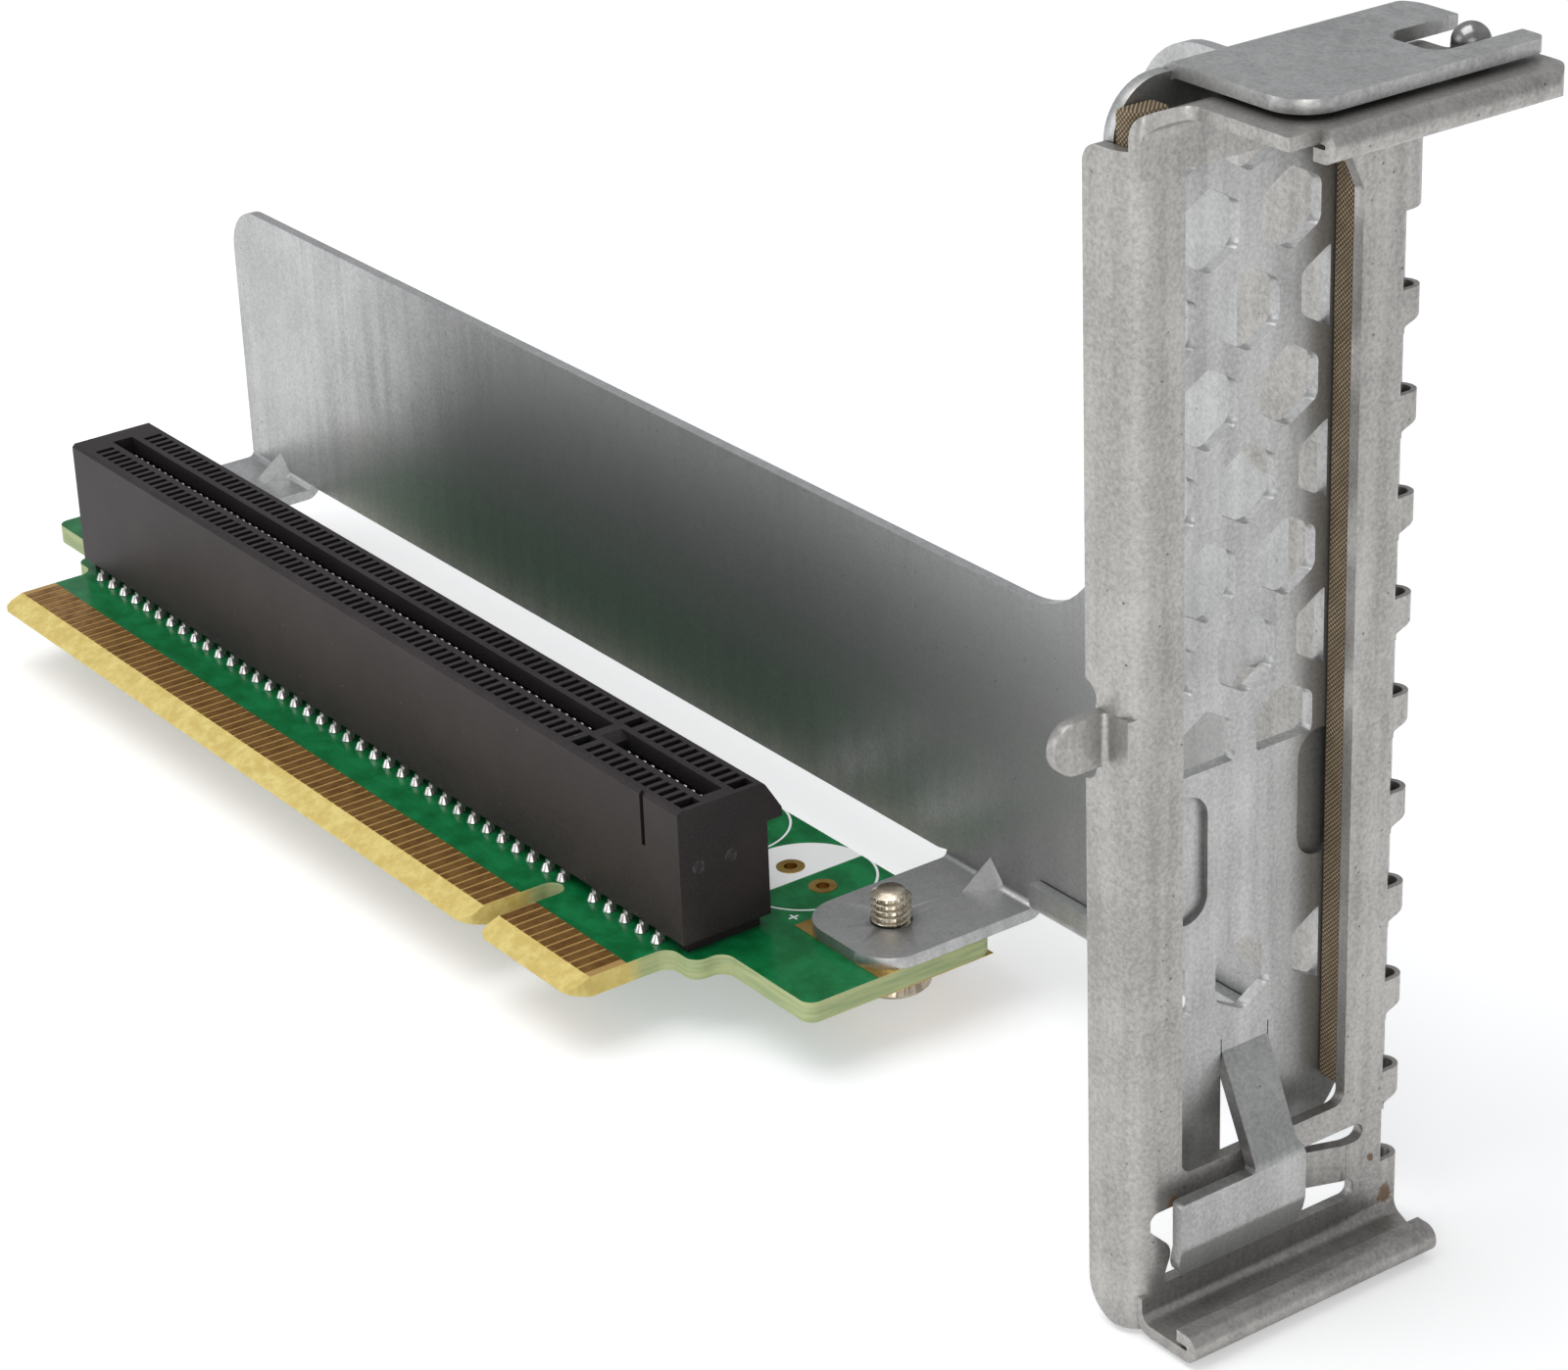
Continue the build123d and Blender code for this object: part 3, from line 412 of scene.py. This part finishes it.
def makeBoard():
    material, tree, shader, place = startMaterial("boardLaminate", specular=0.25)
    axes = addNode(tree, "ShaderNodeSeparateXYZ", {"Vector": place}).outputs
    x, y, z = axes["X"], axes["Y"], axes["Z"]
    normal = facing(tree)
    flat = ramp(tree, maths(tree, "ABSOLUTE", normal["Z"]), 0.975, 0.99)
    mottle = noise(tree, place, 420.0, 3.0, 0.6)
    fine = noise(tree, place, 5200.0, 2.0, 0.5)
    # buried copper shows faintly through the mask as broad darker runs
    weave = addNode(tree, "ShaderNodeTexWave",
                    {"Vector": place, "Scale": 120.0, "Distortion": 6.0, "Detail": 1.0, "Detail Scale": 0.6},
                    wave_type="BANDS", bands_direction="Y")
    runs = ramp(tree, weave.outputs["Fac"], 0.55, 0.75)
    mask = blendColour(tree, ramp(tree, mottle, 0.35, 0.65), boardFinish["mask"], boardFinish["maskLight"])
    mask = blendColour(tree, maths(tree, "MULTIPLY", runs, boardFinish["runShare"]), mask,
                       boardFinish["copperShadow"])
    top = ramp(tree, z, boardFinish["middle"] - 0.0001, boardFinish["middle"] + 0.0001)
    ink = maths(tree, "MULTIPLY", capacitorPrint(tree, x, y), top)
    mask = blendColour(tree, ink, mask, boardFinish["ink"])
    bare = blendColour(tree, ramp(tree, noise(tree, place, 900.0, 4.0, 0.65), 0.35, 0.7),
                       boardFinish["bareDark"], boardFinish["bare"])
    fingerBack, bevelBack = boardFinish["fingerBack"], boardFinish["bevelBack"]
    fingers = ramp(tree, y, fingerBack - 0.00004, fingerBack + 0.00004, 1.0, 0.0)
    tip = ramp(tree, y, bevelBack - 0.00015, bevelBack + 0.00015, 1.0, 0.0)
    surface = blendColour(tree, fingers, mask, blendColour(tree, tip, boardFinish["stained"], bare))
    flattened = addNode(tree, "ShaderNodeMapping", {"Vector": place, "Scale": (0.25, 0.25, 3.0)})
    layers = noise(tree, flattened.outputs["Vector"], 900.0, 2.0, 0.5)
    side = blendColour(tree, ramp(tree, layers, 0.25, 0.70), boardFinish["edgeDark"], boardFinish["edge"])
    nearEdge = ramp(tree, y, *boardFinish["bareSide"], 1.0, 0.0)
    side = blendColour(tree, nearEdge, side, bare)
    colour = blendColour(tree, flat, side, surface)
    # painted shade: the board is darkened in its corners and round the parts that stand on it
    shade = paintedCreviceShade(tree, boardFinish["creviceReach"], boardFinish["creviceShare"])
    tree.links.new(blendColour(tree, 1.0, colour, shade, "MULTIPLY"), shader.inputs["Base Color"])
    masked = maths(tree, "MULTIPLY", flat, maths(tree, "SUBTRACT", 1.0, fingers))
    rough = ramp(tree, masked, 0.0, 1.0, 0.5, 0.20, smooth=False)
    rough = maths(tree, "ADD", rough, maths(tree, "MULTIPLY", ink, boardFinish["inkRoughBy"]))
    tree.links.new(maths(tree, "ADD", rough, maths(tree, "MULTIPLY", fine, 0.06)), shader.inputs["Roughness"])
    height = maths(tree, "ADD", maths(tree, "MULTIPLY", fine, 0.3), maths(tree, "MULTIPLY", mottle, 0.7))
    bumpFrom(tree, shader, height, 0.00002, 0.35)
    return material


boardLaminate = makeBoard()


def makePlated(name, light, dark, roughness, metallic=0.9):
    # plating or tin, brighter and smoother in the light patches
    material, tree, shader, place = startMaterial(name, metallic=metallic)
    patch = ramp(tree, noise(tree, place, 700.0, 4.0, 0.6), 0.32, 0.68)
    fine = noise(tree, place, 6500.0, 2.0, 0.6)
    colour = blendColour(tree, patch, dark, light)
    tree.links.new(colour, shader.inputs["Base Color"])
    rough = maths(tree, "ADD", roughness, maths(tree, "MULTIPLY", maths(tree, "SUBTRACT", patch, 0.5), -0.12))
    tree.links.new(rough, shader.inputs["Roughness"])
    bumpFrom(tree, shader, fine, 0.00001, 0.35)
    return material


fingerGold = makePlated("fingerGold", (0.46, 0.25, 0.075, 1), (0.24, 0.115, 0.03, 1), 0.42, 0.75)
landGold = makePlated("landGold", (0.66, 0.44, 0.13, 1), (0.42, 0.25, 0.06, 1), 0.30)
contactSilver = makePlated("contactSilver", (0.80, 0.78, 0.74, 1), (0.52, 0.49, 0.45, 1), 0.28)
solderSilver = makePlated("solderSilver", (0.78, 0.77, 0.75, 1), (0.50, 0.49, 0.47, 1), 0.26)
nickelScrew = makePlated("nickelScrew", (0.66, 0.60, 0.49, 1), (0.38, 0.32, 0.24, 1), 0.27)
studSteel = makePlated("studSteel", (0.36, 0.35, 0.35, 1), (0.16, 0.15, 0.15, 1), 0.25)


# connector moulding

mouldingFinish = {
    "dark": (0.010, 0.0075, 0.0082, 1), "light": (0.030, 0.022, 0.023, 1), "haze": (0.040, 0.029, 0.029, 1),
    "scuffDark": (0.010, 0.009, 0.010, 1), "scuffLight": (0.11, 0.10, 0.095, 1),
    "dust": (0.26, 0.23, 0.20, 1), "markColour": (0.075, 0.070, 0.074, 1),
    # ejector marks on the near end face: Y, Z and radius in mm
    "marks": [(-2.16, 6.58, 0.5), (0.58, 6.57, 0.5)], "markLine": 0.14, "markFill": 0.4, "endFace": 0.0134,
    "pocketReach": 0.0025, "hazeShare": 0.4, "dustShare": 0.45,
}


def ejectorMarks(tree, x, y, z):
    marks = 0.0
    for along, up, radius in mouldingFinish["marks"]:
        middle = (along * mm, up * mm)
        line = ring(tree, y, z, middle, (radius - mouldingFinish["markLine"]) * mm, radius * mm)
        disc = ring(tree, y, z, middle, -1.0, radius * mm)
        fill = maths(tree, "MULTIPLY", disc, mouldingFinish["markFill"])
        marks = maths(tree, "MAXIMUM", marks, maths(tree, "MAXIMUM", line, fill))
    endFace = mouldingFinish["endFace"]
    return maths(tree, "MULTIPLY", marks, ramp(tree, x, endFace - 0.0001, endFace))


def makeMoulding():
    material, tree, shader, place = startMaterial("connectorMoulding", specular=0.36)
    axes = addNode(tree, "ShaderNodeSeparateXYZ", {"Vector": place}).outputs
    fine = noise(tree, place, 5200.0, 3.0, 0.7)
    broad = noise(tree, place, 160.0, 3.0, 0.5)
    dust = useGroup(tree, paleDust, {"Vector": place, "Spacing": 0.0011, "Share": 0.22})
    colour = blendColour(tree, ramp(tree, fine, 0.3, 0.7), mouldingFinish["dark"], mouldingFinish["light"])
    haze = maths(tree, "MULTIPLY", ramp(tree, broad, 0.4, 0.7), mouldingFinish["hazeShare"])
    colour = blendColour(tree, haze, colour, mouldingFinish["haze"])
    marks = ejectorMarks(tree, axes["X"], axes["Y"], axes["Z"])
    broken = ramp(tree, noise(tree, place, 2600.0, 3.0, 0.6), 0.35, 0.65)
    colour = blendColour(tree, maths(tree, "MULTIPLY", marks, broken), colour, mouldingFinish["markColour"])
    dusty = maths(tree, "MULTIPLY", dust.outputs["Mask"], mouldingFinish["dustShare"])
    colour = blendColour(tree, dusty, colour, mouldingFinish["dust"])
    # painted shade: the moulding's pockets and corners fall to black, and their roughness rises to 1
    pocketShade = paintedCreviceShade(tree, mouldingFinish["pocketReach"], 0.0)
    colour = blendColour(tree, 1.0, colour, pocketShade, "MULTIPLY")
    tree.links.new(colour, shader.inputs["Base Color"])
    rough = ramp(tree, fine, 0.2, 0.8, 0.42, 0.60, smooth=False)
    tree.links.new(blendValue(tree, pocketShade, 1.0, rough), shader.inputs["Roughness"])
    bumpFrom(tree, shader, fine, 0.00002, 0.45)
    return material


def makeMouldingEdge():
    # sharp corners of the moulding, scuffed pale in places
    material, tree, shader, place = startMaterial("connectorEdge", specular=0.35)
    scuff = ramp(tree, noise(tree, place, 800.0, 4.0, 0.7), 0.50, 0.72)
    tree.links.new(blendColour(tree, scuff, mouldingFinish["scuffDark"], mouldingFinish["scuffLight"]),
                   shader.inputs["Base Color"])
    tree.links.new(ramp(tree, scuff, 0.0, 1.0, 0.45, 0.65, smooth=False), shader.inputs["Roughness"])
    bumpFrom(tree, shader, noise(tree, place, 5200.0, 2.0, 0.6), 0.00001, 0.4)
    return material


connectorMoulding = makeMoulding()
connectorEdge = makeMouldingEdge()


# gasket cloth: a fine over-and-under weave

clothFinish = {"pitch": 0.00032, "hollow": (0.11, 0.080, 0.050, 1), "thread": (0.48, 0.38, 0.25, 1),
               "tint": (0.12, 0.085, 0.055, 1), "tintShare": 0.35, "metallic": 0.25}


def makeCloth():
    material, tree, shader, place = startMaterial("gasketCloth", clothFinish["metallic"], specular=0.3)
    axes = addNode(tree, "ShaderNodeSeparateXYZ", {"Vector": place}).outputs
    turn = 2 * math.pi / clothFinish["pitch"]
    level = maths(tree, "SINE", maths(tree, "MULTIPLY", axes["Z"], turn))
    across = maths(tree, "SINE", maths(tree, "MULTIPLY", maths(tree, "ADD", axes["Y"], axes["X"]), turn))
    knit = maths(tree, "MULTIPLY", level, across)
    height = ramp(tree, knit, -1.0, 1.0, smooth=False)
    tint = ramp(tree, noise(tree, place, 1500.0, 3.0, 0.6), 0.35, 0.65)
    colour = blendColour(tree, ramp(tree, knit, -0.2, 0.6), clothFinish["hollow"], clothFinish["thread"])
    colour = blendColour(tree, maths(tree, "MULTIPLY", tint, clothFinish["tintShare"]), colour,
                         clothFinish["tint"])
    tree.links.new(colour, shader.inputs["Base Color"])
    tree.links.new(ramp(tree, height, 0.0, 1.0, 0.75, 0.5, smooth=False), shader.inputs["Roughness"])
    bumpFrom(tree, shader, height, 0.00008, 0.8)
    return material


gasketCloth = makeCloth()
print("materials made")


# pieces carried over from the frame, with their edges broken as pressing and moulding leave them

def deselect():
    if bpy.context.object and bpy.context.object.mode != "OBJECT":
        bpy.ops.object.mode_set(mode="OBJECT")
    bpy.ops.object.select_all(action="DESELECT")


def makeActive(piece):
    deselect()
    piece.select_set(True)
    bpy.context.view_layer.objects.active = piece


def setMaterial(piece, material):
    piece.data.materials.clear()
    piece.data.materials.append(material)


def applyAll(piece):
    makeActive(piece)
    for modifier in list(piece.modifiers):
        bpy.ops.object.modifier_apply(modifier=modifier.name)


dressing = {
    # node: new name, slot, material, material of its broken edges, edge radius in mm, bevel segments, crease
    "slot_frame": ("slotFrameSheet", "frame_steel", frameSteel, steelEdge, 0.10, 2, 32),
    "slot_cover": ("slotCoverSheet", "frame_steel", coverSteel, steelEdge, 0.10, 2, 32),
    "riser_bracket": ("riserBracketSheet", "bracket_steel", bracketSteel, steelEdge, 0.08, 2, 32),
    "slot_housing": ("slotHousingMoulding", "black_moulding", connectorMoulding, connectorEdge, 0.06, 1, 32),
    "circuit_board": ("circuitBoardLaminate", "solder_mask", boardLaminate, None, 0.04, 1, 18),
    "left_gasket": ("leftGasketStrip", "gasket_cloth", gasketCloth, None, 0.35, 3, 32),
    "right_gasket": ("rightGasketStrip", "gasket_cloth", gasketCloth, None, 0.35, 3, 32),
    "locating_stud": ("locatingStudDome", "frame_steel", studSteel, None, 0.08, 2, 32),
}
joinDistance = 0.0000012
flatAngle = math.radians(0.6)
# its darts are drawn out of the sheet, so its triangles aren't merged into larger faces
keepTriangles = ["riser_bracket"]
# the card edge's nose in mm, with the share of the corner that is drawn in two thirds of the way out
cardEdge = {"front": -12.25, "back": -10.34, "corner": 0.9, "cornerShare": 0.3, "tip": 0.19, "thick": 1.57}


def selectAt(piece, test):
    # in edit mode: selects the vertices that pass the test, and the edges and faces between them
    bpy.ops.mesh.select_all(action="DESELECT")
    bpy.ops.object.mode_set(mode="OBJECT")
    for vertex in piece.data.vertices:
        vertex.select = test(vertex.co)
    bpy.ops.object.mode_set(mode="EDIT")


def shapeCardEdge(piece):
    # the card edge's lead-in: both faces slope to a thin nose, with its corners drawn in
    back, front = cardEdge["back"] * mm, cardEdge["front"] * mm
    corner, middleZ = cardEdge["corner"] * mm, -cardEdge["thick"] / 2 * mm
    near = 0.000002
    bpy.ops.mesh.select_all(action="SELECT")
    bpy.ops.mesh.bisect(plane_co=(0, back, 0), plane_no=(0, 1, 0), clear_inner=True, threshold=near)
    bpy.ops.object.mode_set(mode="OBJECT")
    ends = sorted({v.co.x for v in piece.data.vertices if abs(v.co.y - back) < near})
    bpy.ops.object.mode_set(mode="EDIT")
    notch = [x for x in ends if ends[0] + corner < x < ends[-1] - corner]
    slope = (1 - cardEdge["tip"] / cardEdge["thick"]) / (back - front)
    shoulder = front + corner
    steps = [(back, 0.0), (shoulder, 0.0), ((shoulder + 2 * front) / 3, cardEdge["cornerShare"]),
             (front, 1.0)]
    for low, high in ((ends[0], min(notch)), (max(notch), ends[-1])):
        middleX, half = (low + high) / 2, (high - low) / 2
        for end in (low, high):
            selectAt(piece, lambda place: abs(place.y - back) < near and abs(place.x - end) < near)
            bpy.ops.mesh.edge_face_add()
        selectAt(piece, lambda place: abs(place.y - back) < near and low - near < place.x < high + near)
        for (level, wasIn), (reach, drawnIn) in zip(steps, steps[1:]):
            bpy.ops.mesh.extrude_region_move(TRANSFORM_OT_translate={"value": (0, reach - level, 0)})
            thin = (1 - slope * (back - reach)) / (1 - slope * (back - level))
            narrow = (half - drawnIn * corner) / (half - wasIn * corner)
            bpy.ops.transform.resize(value=(narrow, 1, thin), center_override=(middleX, reach, middleZ))
        bpy.ops.mesh.edge_face_add()


def openCopy(name, node):
    # a copy of a node's mesh, joined up and left in edit mode
    piece = bpy.data.objects.new(name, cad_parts[node].data.copy())
    bpy.context.scene.collection.objects.link(piece)
    makeActive(piece)
    bpy.ops.object.mode_set(mode="EDIT")
    bpy.ops.mesh.select_all(action="SELECT")
    bpy.ops.mesh.remove_doubles(threshold=joinDistance)
    return piece


def dress(node):
    name, slotName, material, edgeMaterial, radius, segments, crease = dressing[node]
    creaseAngle = math.radians(crease)
    piece = openCopy(name, node)
    if node not in keepTriangles:
        bpy.ops.mesh.dissolve_limited(angle_limit=flatAngle)
    if node == "circuit_board":
        shapeCardEdge(piece)
    bpy.ops.object.mode_set(mode="OBJECT")
    setMaterial(piece, material)
    bevel = piece.modifiers.new("brokenEdge", "BEVEL")
    bevel.width = radius * mm
    bevel.segments = segments
    bevel.limit_method = "ANGLE"
    bevel.angle_limit = creaseAngle
    if edgeMaterial:
        piece.data.materials.append(edgeMaterial)
        bevel.material = 1
    applyAll(piece)
    bpy.ops.object.shade_smooth_by_angle(angle=creaseAngle)
    # flat faces keep their own normal, so the rounded edges don't shade across them
    level = piece.modifiers.new("flatFaces", "WEIGHTED_NORMAL")
    level.keep_sharp = True
    applyAll(piece)
    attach(piece, "root")
    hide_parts(node)
    print("dressed", node, len(piece.data.polygons))


for node in dressing:
    dress(node)

plain = {
    "edge_contacts_top": fingerGold, "edge_contacts_bottom": fingerGold,
    "ground_pads_top": landGold, "ground_pads_bottom": landGold, "capacitor_eyelets": landGold,
    "left_outer_contacts": contactSilver, "left_inner_contacts": contactSilver,
    "right_outer_contacts": contactSilver, "right_inner_contacts": contactSilver,
}
for node, material in plain.items():
    setMaterial(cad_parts[node], material)
print("carried-over nodes finished")


# board screws, with the thread that shows above the tabs

screw = {"middleY": 9.7, "rootShare": 0.83, "root": 1.2, "ridge": 0.25, "cut": 0.6, "start": 0.7,
         "pitch": 0.5, "turns": 5, "steps": 28, "smoothTo": 35}
# node: new name, X of the screw's axis in mm
screwNodes = {"near_board_screw": ("nearScrewThreaded", 19.8), "far_board_screw": ("farScrewThreaded", -79.8)}


def makeThread():
    # one V-shaped ridge, wound up the screw's axis
    deselect()
    bpy.ops.mesh.primitive_circle_add(vertices=3, radius=screw["ridge"] * mm,
                                      location=(screw["root"] * mm, 0, screw["start"] * mm),
                                      rotation=(math.radians(90), math.radians(90), 0))
    ridge = bpy.context.active_object
    bpy.ops.object.transform_apply(location=True, rotation=True, scale=True)
    wind = ridge.modifiers.new("wind", "SCREW")
    wind.screw_offset = screw["pitch"] * mm
    wind.iterations = screw["turns"]
    wind.steps = screw["steps"]
    wind.render_steps = screw["steps"]
    applyAll(ridge)
    bpy.ops.object.mode_set(mode="EDIT")
    bpy.ops.mesh.select_all(action="SELECT")
    bpy.ops.mesh.fill_holes(sides=3)
    bpy.ops.mesh.normals_make_consistent(inside=False)
    bpy.ops.object.mode_set(mode="OBJECT")
    return ridge


def makeScrew(node):
    name, middleX = screwNodes[node]
    axis = (middleX * mm, screw["middleY"] * mm, 0)
    cut, share = screw["cut"] * mm, screw["rootShare"]
    piece = openCopy(name, node)
    bpy.ops.mesh.bisect(plane_co=(0, 0, cut), plane_no=(0, 0, 1))
    selectAt(piece, lambda place: place.z > cut - 0.01 * mm)
    bpy.ops.transform.resize(value=(share, share, 1), center_override=axis)
    bpy.ops.object.mode_set(mode="OBJECT")
    ridge = makeThread()
    ridge.data.transform(Matrix.Translation(axis))
    makeActive(piece)
    ridge.select_set(True)
    bpy.ops.object.join()
    setMaterial(piece, nickelScrew)
    bpy.ops.object.shade_smooth_by_angle(angle=math.radians(screw["smoothTo"]))
    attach(piece, "root")
    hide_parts(node)
    print("threaded", node, len(piece.data.polygons))


for node in screwNodes:
    makeScrew(node)


# crowns of the slot contacts: the bent tips that show inside the slot

contactRow = {"pitch": 1.0, "keyGap": 1.5, "nearBank": 11, "farBank": 71}
crown = {"width": 0.36, "thick": 0.14, "length": 1.3, "middleY": 0.66, "middleZ": 9.45, "tilt": 15.0,
         "round": 0.06, "smoothTo": 40}
solder = {"tail": 3.9, "radius": 0.50, "tipRadius": 0.20, "height": 0.62, "round": 0.19, "sides": 10,
          "smoothTo": 50}


def contactPlaces():
    keyGap, pitch = contactRow["keyGap"], contactRow["pitch"]
    near = [keyGap + pitch * i for i in reversed(range(contactRow["nearBank"]))]
    far = [-keyGap - pitch * i for i in range(contactRow["farBank"])]
    return near + far


def joinCopies(source, places, name, material, smoothTo):
    # one mesh from a copy of the source at each place, mirrored on the side of negative Y
    copies = []
    for x, side, reach in places:
        mesh = source.data.copy()
        if side < 0:
            mesh.transform(Matrix.Rotation(math.pi, 4, "Z"))
        mesh.transform(Matrix.Translation((x * mm, side * reach * mm, 0.0)))
        copy = bpy.data.objects.new(name + "Copy", mesh)
        bpy.context.scene.collection.objects.link(copy)
        copies.append(copy)
    makeActive(copies[0])
    for copy in copies:
        copy.select_set(True)
    bpy.ops.object.join()
    joined = bpy.context.active_object
    joined.name = name
    bpy.data.objects.remove(source)
    setMaterial(joined, material)
    makeActive(joined)
    bpy.ops.object.shade_smooth_by_angle(angle=math.radians(smoothTo))
    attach(joined, "root")
    print(name, len(joined.data.polygons))


def makeCrowns():
    deselect()
    bpy.ops.mesh.primitive_cube_add(size=1, location=(0, 0, crown["middleZ"] * mm),
                                    rotation=(math.radians(crown["tilt"]), 0, 0),
                                    scale=(crown["width"] * mm, crown["thick"] * mm, crown["length"] * mm))
    leaf = bpy.context.active_object
    bpy.ops.object.transform_apply(location=True, rotation=True, scale=True)
    bevel = leaf.modifiers.new("rolledTip", "BEVEL")
    bevel.width = crown["round"] * mm
    bevel.segments = 2
    applyAll(leaf)
    places = [(x, side, crown["middleY"]) for side in (-1, 1) for x in contactPlaces()]
    joinCopies(leaf, places, "contactCrowns", contactSilver, crown["smoothTo"])


def makeSolder():
    # one fillet: a drawn-up cone with a rounded shoulder, copied to every second tail of both outer rows
    deselect()
    bpy.ops.mesh.primitive_cone_add(vertices=solder["sides"], radius1=solder["radius"] * mm,
                                    radius2=solder["tipRadius"] * mm, depth=solder["height"] * mm,
                                    location=(0, 0, solder["height"] / 2 * mm))
    drop = bpy.context.active_object
    bpy.ops.object.transform_apply(location=True, rotation=True, scale=True)
    bevel = drop.modifiers.new("meniscus", "BEVEL")
    bevel.width = solder["round"] * mm
    bevel.segments = 3
    applyAll(drop)
    places = [(x, side, solder["tail"]) for side in (-1, 1) for x in contactPlaces()[1::2]]
    joinCopies(drop, places, "solderFillets", solderSilver, solder["smoothTo"])


makeCrowns()
makeSolder()


# studio

def makeStudio():
    floorLevel = cadLow.z - studio["floorDrop"]
    deselect()
    bpy.ops.mesh.primitive_plane_add(size=studio["floorSize"], location=(0, 0, floorLevel))
    floor = bpy.context.active_object
    floor.name = "studioFloor"
    material = bpy.data.materials.new("studioPaper")
    material.use_nodes = True
    tree = material.node_tree
    shader = tree.nodes["Principled BSDF"]
    shader.inputs["Base Color"].default_value = studio["floorColour"]
    shader.inputs["Roughness"].default_value = studio["floorRoughness"]
    shader.inputs["Specular IOR Level"].default_value = studio["floorSpecular"]
    path = addNode(tree, "ShaderNodeLightPath")
    seen = maths(tree, "MAXIMUM", path.outputs["Is Camera Ray"], path.outputs["Is Glossy Ray"])
    seen = maths(tree, "MAXIMUM", seen, path.outputs["Is Transmission Ray"])
    tree.links.new(maths(tree, "MULTIPLY", seen, studio["floorGlow"]), shader.inputs["Emission Strength"])
    shader.inputs["Emission Color"].default_value = (1, 1, 1, 1)
    setMaterial(floor, material)

    world = bpy.data.worlds.new("studioAir")
    bpy.context.scene.world = world
    world.use_nodes = True
    tree = world.node_tree
    background = tree.nodes["Background"]
    background.inputs["Color"].default_value = studio["ambient"]
    path = addNode(tree, "ShaderNodeLightPath")
    tree.links.new(ramp(tree, path.outputs["Is Camera Ray"], 0.0, 1.0, studio["ambientStrength"], 1.0,
                        smooth=False), background.inputs["Strength"])

    for name, place, aim, size, watts, colour in studio["lamps"]:
        lamp = bpy.data.lights.new(name, "AREA")
        lamp.shape = "SQUARE"
        lamp.size = size
        lamp.energy = watts
        lamp.color = colour
        holder = bpy.data.objects.new(name, lamp)
        bpy.context.scene.collection.objects.link(holder)
        holder.location = place
        holder.rotation_mode = "QUATERNION"
        holder.rotation_quaternion = (Vector(aim) - Vector(place)).to_track_quat("-Z", "Y")

    lens = bpy.data.cameras.new("photoCamera")
    lens.lens = camera["lens"]
    lens.sensor_width = camera["sensor"]
    lens.sensor_fit = "HORIZONTAL"
    lens.clip_start = camera["clipNear"]
    lens.clip_end = camera["clipFar"]
    holder = bpy.data.objects.new("photoCamera", lens)
    bpy.context.scene.collection.objects.link(holder)
    turn = Matrix((camera["right"], camera["up"], camera["back"])).transposed()
    holder.matrix_world = Matrix.Translation(camera["place"]) @ turn.to_4x4()
    bpy.context.scene.camera = holder
    bpy.context.scene.view_settings.view_transform = "Standard"


makeStudio()
print("studio ready")
